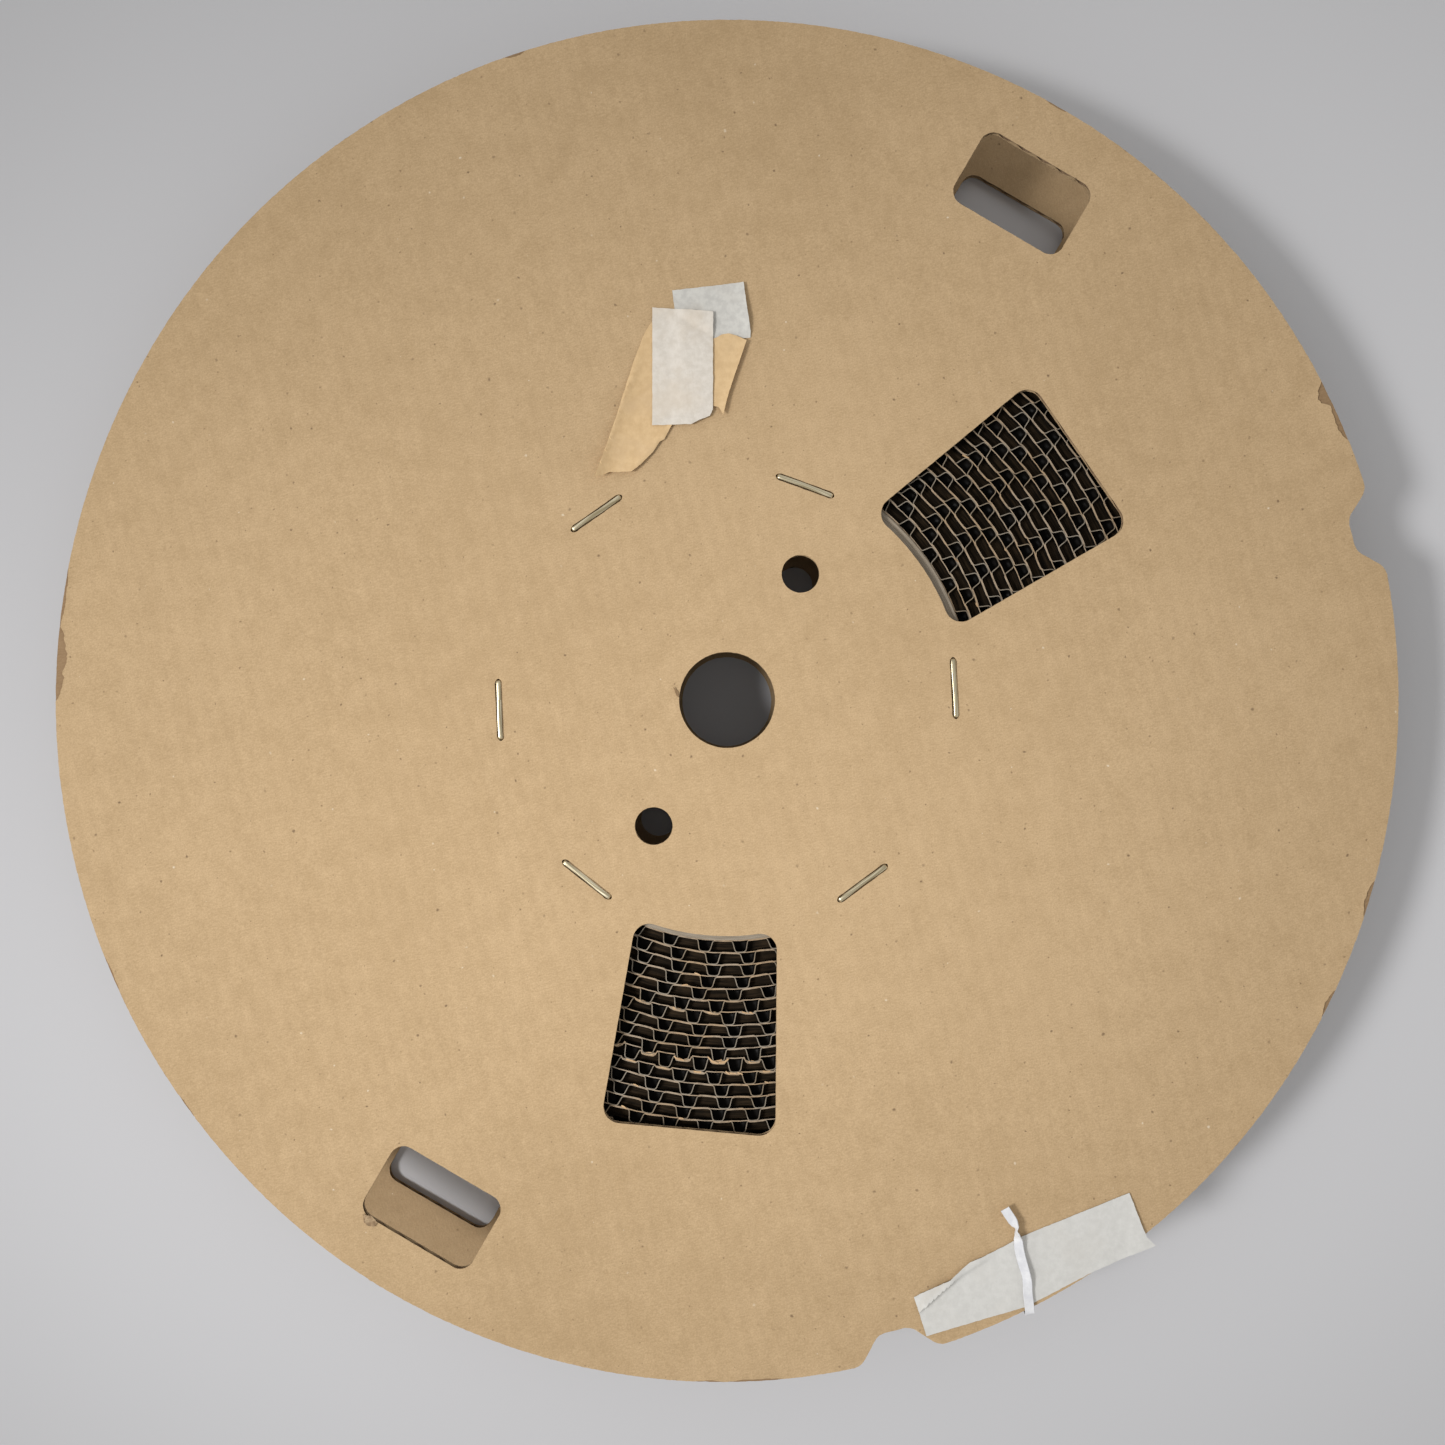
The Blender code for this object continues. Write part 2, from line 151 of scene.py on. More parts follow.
def rim():
    reach = degrees(asin(NOTCH_MOUTH / 2 / REEL_RADIUS))
    clear = reach + NOTCH_LEAD
    bottom = REEL_RADIUS - NOTCH_DEPTH
    notch = [
        polar(REEL_RADIUS, -clear), polar(REEL_RADIUS, -reach), (bottom, -NOTCH_FLOOR / 2),
        (bottom, NOTCH_FLOOR / 2), polar(REEL_RADIUS, reach), polar(REEL_RADIUS, clear),
    ]
    notch = rounded(notch, NOTCH_CORNER, (1, 2, 3, 4))
    middles = [(DIE_AXIS + side * NOTCH_OFFSET) % 360 for side in (1, -1)]
    spots = [360 * i / RIM_STEPS for i in range(RIM_STEPS)]
    points = [(a, [polar(REEL_RADIUS, a)]) for a in spots if all(abs(a - m) > clear for m in middles)]
    points += [(middle, placed(notch, 0.0, middle)) for middle in middles]
    return [point for _, group in sorted(points) for point in group]


def split(points, spacing):
    """The same closed outline with its long sides cut into short ones."""
    result = []
    for (x, y), (nx, ny) in zip(points, points[1:] + points[:1]):
        count = max(1, round(hypot(nx - x, ny - y) / spacing))
        result += [(x + (nx - x) * k / count, y + (ny - y) * k / count) for k in range(count)]
    return result


def rough(x, y, size, seed):
    return noise.noise(Vector((x / size, y / size, seed)))


def frayed(points, amount, seed):
    """The outline with a slightly ragged edge."""
    result = []
    for x, y in points:
        dx = rough(x, y, 2.3, seed) + 0.7 * rough(x, y, 0.9, seed + 3)
        dy = rough(x, y, 2.3, seed + 7) + 0.7 * rough(x, y, 0.9, seed + 11)
        result.append((x + dx * amount, y + dy * amount))
    return result


def legs(angle):
    """The two spots where a staple goes through the board."""
    return placed([(0.0, side * (STAPLE_CROWN - 1.0) / 2) for side in (-1, 1)], STAPLE_RADIUS, angle)


def pressed(angle):
    """The narrow opening that a staple has pressed in the liner, a little wider than its wire."""
    half, half_width, steps = STAPLE_CROWN / 2 + 0.55, 1.42, 16
    points = []
    for side in (1, -1):
        for k in range(steps + 1):
            along = half * cos(pi * k / steps) * side
            blunt = min(1.0, (half - abs(along)) / 1.6) ** 0.5
            width = half_width + 0.14 * rough(along, angle, 2.1, 19 + side)
            width += 0.12 * ease((abs(along) - 10.2) / 0.8)
            points.append((side * width * blunt, along))
    return placed(points, STAPLE_RADIUS, angle)


def holes():
    """Every hole that the die cuts in a flange."""
    both = [DIE_AXIS + side * HOLE_OFFSET for side in (1, -1)]
    return [
        circle(ARBOR_RADIUS, 160),
        *[circle(DRIVE_RADIUS, 72, polar(DRIVE_CIRCLE_RADIUS, angle)) for angle in both],
        *[hand_hole(angle) for angle in both],
        *[window(DIE_AXIS + side * WINDOW_OFFSET) for side in (1, -1)],
    ]


def peel(angle):
    """How far the front's top ply has come off at that angle."""
    depth = 0.0
    for middle, half, most in PEELS:
        u = ((angle - middle + 180) % 360 - 180) / half
        if abs(u) < 1:
            depth = max(depth, most * (1 - u * u) ** 0.7)
    return depth


# --- meshes ---
def added(name, data):
    thing = bpy.data.objects.new(name, data)
    bpy.context.scene.collection.objects.link(thing)
    return thing


def made(name, verts, faces, materials, indices=None, *, slot, replaces=None, smooth=None):
    """A piece that rides on the reel, from points in millimetres."""
    mesh = bpy.data.meshes.new(name)
    mesh.from_pydata([(x * MM, y * MM, z * MM) for x, y, z in verts], [], faces)
    for material in materials:
        mesh.materials.append(material)
    if indices is not None:
        mesh.polygons.foreach_set("material_index", indices)
    if smooth is not None:
        mesh.polygons.foreach_set("use_smooth", [True] * len(mesh.polygons))
        mesh.set_sharp_from_angle(angle=radians(smooth))
    mesh.update()
    thing = added(name, mesh)
    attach(thing, "root")
    if replaces:
        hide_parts(replaces)


def quads(rings, count, closed=True, start=0, flip=False):
    """The faces between neighbouring rings of that many points, numbered ring after ring."""
    faces = []
    for a in range(start, start + (rings - 1) * count, count):
        b = a + count
        for k in range(count if closed else count - 1):
            n = (k + 1) % count
            faces.append((a + k, b + k, b + n, a + n) if flip else (a + k, a + n, b + n, b + k))
    return faces


def within(spots, outlines):
    """Which spots are inside the first outline and outside the rest."""
    spots = np.asarray(spots)
    result = np.zeros(len(spots), bool)
    batch = 2000
    for start in range(0, len(spots), batch):
        x, y = spots[start:start + batch, 0, None], spots[start:start + batch, 1, None]
        odd = np.zeros(len(x), bool)
        for outline in outlines:
            a = np.asarray(outline)
            b = np.roll(a, -1, axis=0)
            rise = np.where(b[:, 1] == a[:, 1], 1.0, b[:, 1] - a[:, 1])
            crossed = (a[:, 1] > y) != (b[:, 1] > y)
            left = x < (b[:, 0] - a[:, 0]) * (y - a[:, 1]) / rise + a[:, 0]
            odd ^= ((crossed & left).sum(1) % 2).astype(bool)
        result[start:start + batch] = odd
    return result


def triangulated(outlines, spacing, extra=()):
    """Points and triangles that fill the outlines, with a grid of points inside."""
    points, edges = [], []
    for outline in outlines:
        start, count = len(points), len(outline)
        points += outline
        edges += [(start + i, start + (i + 1) % count) for i in range(count)]
    tree = kdtree.KDTree(len(points))
    for i, (x, y) in enumerate(points):
        tree.insert((x, y, 0.0), i)
    tree.balance()
    xs, ys = zip(*outlines[0])
    left, bottom = min(xs), min(ys)
    rows = int((max(ys) - bottom) / spacing / TRIANGLE_HEIGHT) + 1
    columns = int((max(xs) - left) / spacing) + 1
    grid = [
        (left + (i + 0.5 * (j % 2)) * spacing, bottom + j * spacing * TRIANGLE_HEIGHT)
        for j in range(rows) for i in range(columns)
    ]
    grid += list(extra)
    kept = [p for p, good in zip(grid, within(grid, outlines)) if good]
    kept = [p for p in kept if tree.find((*p, 0.0))[2] > 0.3 * spacing or p in extra]
    verts, _, faces, *_ = delaunay_2d_cdt([Vector(p) for p in points + kept], edges, [], 1, 1e-4)
    middles = [sum((verts[i] for i in face), Vector((0.0, 0.0))) / 3 for face in faces]
    inside = within([(m.x, m.y) for m in middles], outlines)
    return verts, [tuple(face) for face, good in zip(faces, inside) if good]


def sheet(name, outlines, low, high, spacing, materials, lift, extra=(), **rest):
    """A thin sheet that fills the outlines, with the materials of its top, its cut edge and its underside."""
    flat, faces = triangulated(outlines, spacing, extra)
    count = len(flat)
    rise = [lift(p.x, p.y) for p in flat]
    verts = [(p.x, p.y, level + h) for level in (high, low) for p, h in zip(flat, rise)]
    edges = {edge: None for a, b, c in faces for edge in ((a, b), (b, c), (c, a))}
    walls = [(i, i + count, j + count, j) for i, j in edges if (j, i) not in edges]
    under = [(c + count, b + count, a + count) for a, b, c in faces]
    indices = [0] * len(faces) + [1] * len(walls) + [2] * len(under)
    made(name, verts, faces + walls + under, materials, indices, smooth=40, **rest)


def joined(name, parts, material, **rest):
    """One piece of one material, from several (points, faces) parts."""
    verts, faces = [], []
    for points, sides in parts:
        start = len(verts)
        verts += points
        faces += [tuple(i + start for i in face) for face in sides]
    made(name, verts, faces, (material,), **rest)


def swept(path, sides, section):
    """A rod: the (across, up) section carried along the path, across being the side."""
    verts = []
    count = len(section)
    for i, spot in enumerate(path):
        along = (path[min(i + 1, len(path) - 1)] - path[max(i - 1, 0)]).normalized()
        side = (sides[i] - along * sides[i].dot(along)).normalized()
        up = side.cross(along)
        verts += [tuple(spot + side * u + up * v) for u, v in section]
    ends = [tuple(range(count))[::-1], tuple(range(len(verts) - count, len(verts)))]
    return verts, quads(len(path), count) + ends


# --- materials ---
class Shader:
    """A small helper that builds one procedural material."""

    def __init__(self, name, roughness, specular, metallic=0.0):
        self.material = bpy.data.materials.new(name)
        self.material.use_nodes = True
        self.tree = self.material.node_tree
        self.surface = self.tree.nodes["Principled BSDF"]
        values = {"Roughness": roughness, "Metallic": metallic, "Specular IOR Level": specular}
        for key, value in values.items():
            self.surface.inputs[key].default_value = value
        self.place = self.tree.nodes.new("ShaderNodeTexCoord").outputs["Object"]

    def put(self, socket, value):
        """Link an input or set it. A colour is given as three shares."""
        if isinstance(value, bpy.types.NodeSocket):
            self.tree.links.new(value, socket)
        elif socket.type == "RGBA":
            socket.default_value = (*value, 1.0)
        else:
            socket.default_value = value

    def node(self, kind, values, **settings):
        made_node = self.tree.nodes.new("ShaderNode" + kind)
        for key, value in settings.items():
            setattr(made_node, key, value)
        for key, value in values.items():
            self.put(made_node.inputs[key], value)
        return made_node

    def math(self, operation, *terms):
        return self.node("Math", dict(enumerate(terms)), operation=operation).outputs[0]

    def plus(self, a, b):
        return self.math("ADD", a, b)

    def times(self, a, b):
        return self.math("MULTIPLY", a, b)

    def noise(self, scale, detail, roughness=0.5, vector=None):
        values = {"Vector": vector or self.place, "Scale": scale, "Detail": detail, "Roughness": roughness}
        return self.node("TexNoise", values).outputs["Fac"]

    def turned(self, angle):
        """The place turned so that its first axis runs along that angle."""
        values = {"Vector": self.place, "Rotation": (0.0, 0.0, -radians(angle))}
        return self.node("Mapping", values).outputs[0]

    def scaled(self, place, *scale):
        return self.node("Mapping", {"Vector": place, "Scale": scale}).outputs[0]

    def between(self, value, low, high, start=0.0, end=1.0):
        values = {"Value": value, "From Min": low, "From Max": high, "To Min": start, "To Max": end}
        return self.node("MapRange", values, interpolation_type="SMOOTHSTEP").outputs[0]

    def mix(self, share, a, b):
        return self.node("Mix", {0: share, 6: a, 7: b}, data_type="RGBA").outputs[2]

    def layered(self, color, *layers):
        """That colour, with others mixed in where their pattern lies between two values."""
        for pattern, low, high, most, other in layers:
            color = self.mix(self.between(pattern, low, high, 0.0, most), color, other)
        return color

    def ridges(self, angle, pitch):
        """A wave from 0 to 1 whose crests run along that angle."""
        across = self.node("SeparateXYZ", {0: self.turned(angle)}).outputs["Y"]
        wave = self.math("SINE", self.times(across, 2 * pi / (pitch * MM)))
        return self.math("MULTIPLY_ADD", wave, 0.5, 0.5)

    def bump(self, height, distance, strength=1.0, below=None):
        values = {"Height": height, "Distance": distance * MM, "Strength": strength}
        if below is not None:
            values["Normal"] = below
        return self.node("Bump", values).outputs[0]

    def done(self, color, normal=None, roughness=None):
        for key, value in (("Base Color", color), ("Normal", normal), ("Roughness", roughness)):
            if value is not None:
                self.put(self.surface.inputs[key], value)
        return self.material


# Specks in the paper: how many per metre, their size, how rare they are, and their colour.
SPECKS = (
    (96.0, 0.045, 0.55, (0.13, 0.08, 0.045)), (210.0, 0.07, 0.72, (0.22, 0.14, 0.075)),
    (75.0, 0.030, 0.80, (0.80, 0.70, 0.54)),
)


def kraft(name, pale, deep, flute_angle, washboard=1.0):
    """Brown liner paper: blotches, fibres, specks, and the faint ridges of the fluting beneath."""
    s = Shader(name, roughness=0.86, specular=0.22)
    blotch = s.noise(9.0, 2.0)
    patch = s.noise(95.0, 4.0, 0.65)
    fibre = s.noise(1.0, 4.0, 0.7, s.scaled(s.turned(flute_angle - 90), 380.0, 1500.0, 1.0))
    grain = s.noise(1500.0, 3.0, 0.7)
    tone = s.plus(s.plus(s.times(blotch, 0.22), s.times(patch, 0.33)), s.times(fibre, 0.45))
    color = s.layered(deep, (tone, 0.36, 0.64, 1.0, pale), (grain, 0.32, 0.72, 0.30, (0.25, 0.155, 0.075)))
    waves = s.ridges(flute_angle, FLUTE_PITCH)
    seen = s.between(s.noise(24.0, 2.0), 0.35, 0.65, 0.25, 1.0)
    color = s.mix(s.times(s.times(waves, seen), 0.06 * washboard), color, (0.30, 0.20, 0.11))
    wobble = s.node("TexNoise", {"Vector": s.place, "Scale": 700.0, "Detail": 1.0}).outputs["Color"]
    moved = s.node("VectorMath", {0: wobble, 1: (0.0011, 0.0011, 0.0)}, operation="MULTIPLY").outputs[0]
    spread = s.node("VectorMath", {0: s.place, 1: moved}, operation="ADD").outputs[0]
    flat = s.node("VectorMath", {0: spread, 1: (1.0, 1.0, 0.0)}, operation="MULTIPLY").outputs[0]
    for scale, size, rarity, ink in SPECKS:
        cells = s.node("TexVoronoi", {"Vector": flat, "Scale": scale}, voronoi_dimensions="2D").outputs
        first, second, third = s.node("SeparateColor", {0: cells["Color"]}).outputs
        distance = s.times(cells["Distance"], s.between(third, 0.0, 1.0, 0.8, 3.4))
        near = s.between(distance, size * 0.3, size * 1.5, 1.0, 0.0)
        strength = s.times(near, s.math("GREATER_THAN", first, rarity))
        color = s.mix(s.times(strength, s.between(second, 0.0, 1.0, 0.12, 0.75)), color, ink)
    normal = s.bump(s.plus(s.times(waves, 0.32 * washboard), s.times(patch, 0.5)), 0.15)
    return s.done(color, s.bump(s.plus(grain, fibre), 0.05, 0.7, normal))


def cut_board(name, pale, deep):
    """The cut edge of board: rough, in thin layers."""
    s = Shader(name, roughness=0.95, specular=0.1)
    plies = s.noise(1.0, 3.0, 0.6, s.scaled(s.place, 500.0, 500.0, 3500.0))
    return s.done(s.layered(deep, (plies, 0.3, 0.7, 1.0, pale)), s.bump(plies, 0.15))


def masking(name, pale, deep, dirt, soiled=0.5):
    """Creped masking tape: fine wrinkles across it, mottled with what shows through."""
    s = Shader(name, roughness=0.62, specular=0.35)
    mottle = s.noise(330.0, 4.0, 0.65)
    cloud = s.noise(60.0, 3.0, 0.55)
    crepe = s.noise(1.0, 3.0, 0.6, s.scaled(s.turned(100.0), 300.0, 1700.0, 1.0))
    color = s.layered(deep, (mottle, 0.32, 0.68, 1.0, pale), (crepe, 0.4, 0.75, 0.3, deep))
    color = s.layered(color, (cloud, 0.45, 0.7, soiled, dirt))
    return s.done(color, s.bump(mottle, 0.14, 0.6, s.bump(crepe, 0.06, 0.6)))


def black_plastic(name, clean, dust, shine):
    s = Shader(name, roughness=0.42, specular=shine)
    smear = s.noise(210.0, 3.0, 0.6)
    color = s.layered(clean, (smear, 0.45, 0.75, 0.5, dust))
    return s.done(color, s.bump(smear, 0.12, 0.4), s.between(smear, 0.3, 0.7, 0.32, 0.6))


def edge_dust_and_highlight(name, clean, warm, worn):
    """The cut edge of the black carrier tape, painted pale: partly dust, partly a painted highlight for the
    light its edge scatters.
    """
    s = Shader(name, roughness=0.6, specular=0.3)
    wear = s.noise(420.0, 3.0, 0.65)
    cloud = s.noise(60.0, 2.0)
    return s.done(s.layered(clean, (cloud, 0.40, 0.62, 1.0, warm), (wear, 0.42, 0.72, 0.6, worn)))


def around(s, out, along, up=0.0):
    """A place for noise stretched around the reel: scales per metre outwards, per radian and per metre up."""
    x_axis, y_axis, z_axis = s.node("SeparateXYZ", {0: s.place}).outputs
    flat = s.node("CombineXYZ", {0: x_axis, 1: y_axis}).outputs[0]
    radius = s.node("VectorMath", {0: flat}, operation="LENGTH").outputs["Value"]
    turn = s.math("ARCTAN2", y_axis, x_axis)
    values = {0: s.times(radius, out), 1: s.times(turn, along), 2: s.times(z_axis, up)}
    return s.node("CombineXYZ", values).outputs[0]


def gap_painted_shade():
    """Painted shade: a near-black brown for the shaded depth between pockets, with faint lighter lines along
    the tape.
    """
    s = Shader("gap_painted_shade", roughness=0.8, specular=0.1)
    lines = s.noise(1.0, 3.0, 0.65, around(s, 1300.0, 9.0))
    cloud = s.noise(150.0, 2.0)
    return s.done(s.layered(
        (0.006, 0.004, 0.002), (lines, 0.34, 0.68, 1.0, (0.036, 0.023, 0.012)),
        (cloud, 0.40, 0.7, 0.6, (0.007, 0.005, 0.003)),
    ))


def wire():
    """Flat steel wire with a brassy finish, drawn out in streaks along the reel's chords."""
    s = Shader("staple_wire", roughness=0.34, metallic=1.0, specular=0.5)
    streak = s.noise(1.0, 3.0, 0.6, around(s, 2600.0, 3.0, 300.0))
    color = s.layered((0.42, 0.345, 0.20), (streak, 0.35, 0.68, 1.0, (0.86, 0.79, 0.60)))
    return s.done(color, s.bump(streak, 0.04, 0.5), s.between(streak, 0.3, 0.7, 0.26, 0.46))


def fibreboard():
    s = Shader("hub_fibreboard", roughness=0.85, specular=0.25)
    rings = s.noise(1.0, 2.0, 0.6, around(s, 2600.0, 6.0, 30.0))
    cloud = s.noise(160.0, 4.0, 0.65)
    color = s.layered(
        (0.235, 0.195, 0.145), (rings, 0.3, 0.7, 1.0, (0.40, 0.345, 0.275)),
        (cloud, 0.4, 0.7, 0.6, (0.30, 0.245, 0.18)),
    )
    return s.done(color, s.bump(s.plus(rings, cloud), 0.12, 0.6))


KRAFT_PALE, KRAFT_DEEP = (0.615, 0.443, 0.258), (0.505, 0.356, 0.198)
front_kraft = kraft("front_kraft", KRAFT_PALE, KRAFT_DEEP, FRONT_FLUTES)
front_ply = kraft("front_ply", (0.36, 0.24, 0.135), (0.255, 0.16, 0.085), FRONT_FLUTES, 1.5)
rear_kraft = kraft("rear_kraft", KRAFT_PALE, KRAFT_DEEP, REAR_FLUTES)
# Painted shade: the rear inner liner is the same kraft as the faces, made darker for the shadowed inside of
# the reel.
shaded_inner_kraft = kraft("shaded_inner_kraft", (0.485, 0.345, 0.20), (0.40, 0.28, 0.155), REAR_FLUTES)
liner_edge = cut_board("liner_edge", (0.50, 0.37, 0.23), (0.26, 0.17, 0.10))
medium = cut_board("corrugated_medium", (0.31, 0.21, 0.125), (0.16, 0.10, 0.06))
white_masking = masking("white_masking", (0.76, 0.71, 0.64), (0.66, 0.61, 0.54), (0.66, 0.56, 0.44), 0.4)
grey_masking = masking("grey_masking", (0.66, 0.65, 0.61), (0.55, 0.54, 0.51), (0.58, 0.53, 0.46), 0.3)
tan_masking = masking("tan_masking", (0.73, 0.52, 0.285), (0.64, 0.445, 0.235), (0.66, 0.48, 0.29), 0.4)
strip_masking = masking("strip_masking", (0.69, 0.685, 0.66), (0.63, 0.625, 0.60), (0.64, 0.62, 0.58), 0.35)
tie_paper = masking("tie_paper", (0.82, 0.83, 0.85), (0.70, 0.71, 0.75), (0.72, 0.72, 0.75), 0.4)
tape_black = black_plastic("tape_black", (0.008, 0.007, 0.006), (0.022, 0.017, 0.012), 0.18)
# Painted shade: the pocket ends are the tape's own black plastic, made darker and less shiny for their
# recess.
shaded_pocket_black = black_plastic("shaded_pocket_black", (0.004, 0.0035, 0.003), (0.012, 0.009, 0.007), 0.04)
# Painted highlight: the tape's cut edges are painted pale, partly dust and partly highlight; the pocket
# walls' edges are a greyer painted highlight.
pale_edge_dust_and_highlight = edge_dust_and_highlight("edge_dust_and_highlight", (0.40, 0.315, 0.225), (0.41, 0.29, 0.175), (0.14, 0.105, 0.07))
wall_edge_highlight_and_wear = edge_dust_and_highlight("tape_wall_edge_highlight", (0.27, 0.235, 0.185), (0.25, 0.195, 0.13), (0.08, 0.065, 0.05))
# Painted shade for the dark depth between pockets.
gap_shade_sheet = gap_painted_shade()
# The cover tape's tan is partly its own colour and partly a painted highlight where it catches the light.
cover_tan_and_highlight = masking("cover_tan_and_highlight", (0.68, 0.46, 0.25), (0.46, 0.29, 0.15), (0.72, 0.55, 0.36))
staple_steel = wire()
hub_fibre = fibreboard()


# --- board ---
def ease(value):
    value = max(0.0, min(1.0, value))
    return value * value * (3 - 2 * value)


def front_warp(x, y):
    """The front flange is warped like a saddle: left and right rims bend back, top and bottom forward."""
    radius, turn = hypot(x, y), atan2(y, x)
    lobes = cos(2 * turn)
    foot = exp(-((degrees(turn) - FOOT_ANGLE) / FOOT_REACH) ** 4)
    saddle = (-4.2 * lobes - 1.5 * lobes * lobes + 2.4 * foot) * (max(0.0, radius - HELD_RADIUS) / 180) ** 2.8
    edge = ease((radius - RIM_ZONE) / 70)
    return saddle + 0.22 * rough(x, y, 150, 1) + 0.05 * rough(x, y, 40, 2) + 0.35 * edge * rough(x, y, 120, 3)


def rear_warp(x, y):
    edge = ease((hypot(x, y) - RIM_ZONE) / 70)
    return 0.12 * rough(x, y, 150, 21) + 0.3 * edge * rough(x, y, 120, 23)


def dimples(x, y, angles):
    """How far a staple's legs have pulled the liner in."""
    sunk = 0.0
    for angle in angles:
        for lx, ly in legs(angle):
            sunk += exp(-((x - lx) ** 2 + (y - ly) ** 2) / 5.0)
    return sunk


def front_lift(x, y):
    return front_warp(x, y) - 0.4 * dimples(x, y, FRONT_STAPLES)


def skin_lift(x, y):
    """The front's top ply also curls up where it has torn at the rim."""
    angle = degrees(atan2(y, x))
    depth = peel(angle)
    back = REEL_RADIUS - depth - hypot(x, y)
    curl = min(0.55, 0.35 * depth) * exp(-max(back, 0.0) / 2.5) if depth else 0.0
    return front_lift(x, y) + curl


def rear_lift(x, y):
    return rear_warp(x, y) + 0.3 * dimples(x, y, REAR_STAPLES)


def torn_rim():
    """The front's top ply: the rim with its torn spots."""
    result = []
    for x, y in split(rim(), 0.9):
        radius, angle = hypot(x, y), degrees(atan2(y, x))
        depth = peel(angle)
        if depth and radius > REEL_RADIUS - 1:
            depth *= 1 + 0.35 * rough(x, y, 5, 31) + 0.2 * rough(x, y, 1.7, 32)
        cut = (radius - depth) / radius
        result.append((x * cut, y * cut))
    return result


def near_staples(angles):
    """Extra grid points where the liner is pulled in."""
    return [
        (x + r * cos(t), y + r * sin(t))
        for angle in angles for x, y in legs(angle) for r in (0.9, 1.8, 2.8, 4.0)
        for t in (0.2, 0.98, 1.77, 2.55, 3.34, 4.12, 4.91, 5.69)
    ]


def near_rim():
    """Extra grid points where the top ply curls."""
    spots = []
    for middle, half, _ in PEELS:
        count = int(half * 2 * RIM_DEGREE / 1.2)
        for k in range(count + 1):
            angle = middle - half + 2 * half * k / count
            spots += [polar(REEL_RADIUS - peel(angle) - back, angle) for back in (0.9, 2.0, 3.4, 5.5)]
    return spots


def wave(x, y, angle):
    """The height of the fluting, from -1 to 1, whose ridges run along that angle."""
    turn = radians(angle)
    return sin(2 * pi * (y * cos(turn) - x * sin(turn)) / FLUTE_PITCH)


def fluting(name, angle, low, high, lift, replaces):
    """The corrugated medium, as far in from every cut edge as one can see."""
    thickness, insets = 0.2, (0.12, 1.0, 3.0, 7.0)
    middle, swing = (low + high) / 2, (high - low - thickness) / 2
    parts = []
    for outline in [rim()] + [hole[::-1] for hole in holes()]:
        points = split(outline, 0.55)
        count = len(points)
        flat = []
        for inset in insets:
            for i, (x, y) in enumerate(points):
                px, py = points[i - 1]
                nx, ny = points[(i + 1) % count]
                length = hypot(nx - px, ny - py)
                flat.append((x - (ny - py) / length * inset, y + (nx - px) / length * inset))
        verts = [
            (x, y, middle + swing * wave(x, y, angle) + half + lift(x, y))
            for half in (thickness / 2, -thickness / 2) for x, y in flat
        ]
        layer = len(flat)
        faces = quads(len(insets), count) + quads(len(insets), count, start=layer, flip=True)
        faces += [(i, layer + i, layer + (i + 1) % count, (i + 1) % count) for i in range(count)]
        parts.append((verts, faces))
    joined(name, parts, medium, slot="corrugated_medium", replaces=replaces, smooth=50)


def flanges():
    cuts = [split(hole, 1.6) for hole in holes()]
    plain = split(rim(), 1.6)
    slots = [pressed(angle) for angle in FRONT_STAPLES]
    near_front = near_staples(FRONT_STAPLES)

    def liner(name, low, high, spacing, papers, lift, frays, seeds, outline=plain, more=(), **rest):
        """One paper sheet. The frays and the seeds are those of its rim and of its holes."""
        outlines = [frayed(outline, frays[0], seeds[0])]
        outlines += [frayed(cut, frays[1], seeds[1] + i) for i, cut in enumerate(cuts)]
        papers = (papers[0], liner_edge, papers[1])
        sheet(name, [*outlines, *more], low, high, spacing, papers, lift, slot="kraft_liner", **rest)

    liner(
        "front_skin", FRONT_FACE - SKIN, FRONT_FACE, 5.0, (front_kraft, front_ply), skin_lift,
        (0.16, 0.10), (1.0, 3.0), torn_rim(), slots, extra=near_front + near_rim(),
        replaces="front_outer_liner",
    )
    liner(
        "front_ply", PLY_TOP - PLY, PLY_TOP, 7.0, (front_ply, rear_kraft), front_lift,
        (0.14, 0.10), (2.0, 13.0), more=slots, extra=near_front,
    )
    liner(
        "front_inner_liner_paper", FRONT_INNER, FRONT_INNER + LINER, 9.0, (front_kraft, front_kraft),
        front_warp, (0.16, 0.12), (5.0, 23.0), replaces="front_inner_liner",
    )
    # Its kraft is made darker as painted shade.
    liner(
        "rear_inner_liner_paper", REAR_INNER - LINER, REAR_INNER, 9.0, (shaded_inner_kraft, shaded_inner_kraft), rear_warp,
        (0.16, 0.12), (6.0, 33.0), replaces="rear_inner_liner",
    )
    liner(
        "rear_outer_liner_paper", REAR_FACE, REAR_FACE + LINER, 7.0, (rear_kraft, rear_kraft), rear_lift,
        (0.16, 0.12), (7.0, 43.0), extra=near_staples(REAR_STAPLES), replaces="rear_outer_liner",
    )
    flute_top = PLY_TOP - PLY - PLY_GAP
    fluting("front_medium", FRONT_FLUTES, FRONT_INNER + LINER, flute_top, front_warp, "front_fluting")
    fluting("rear_medium", REAR_FLUTES, REAR_FACE + LINER, REAR_INNER - LINER, rear_warp, "rear_fluting")


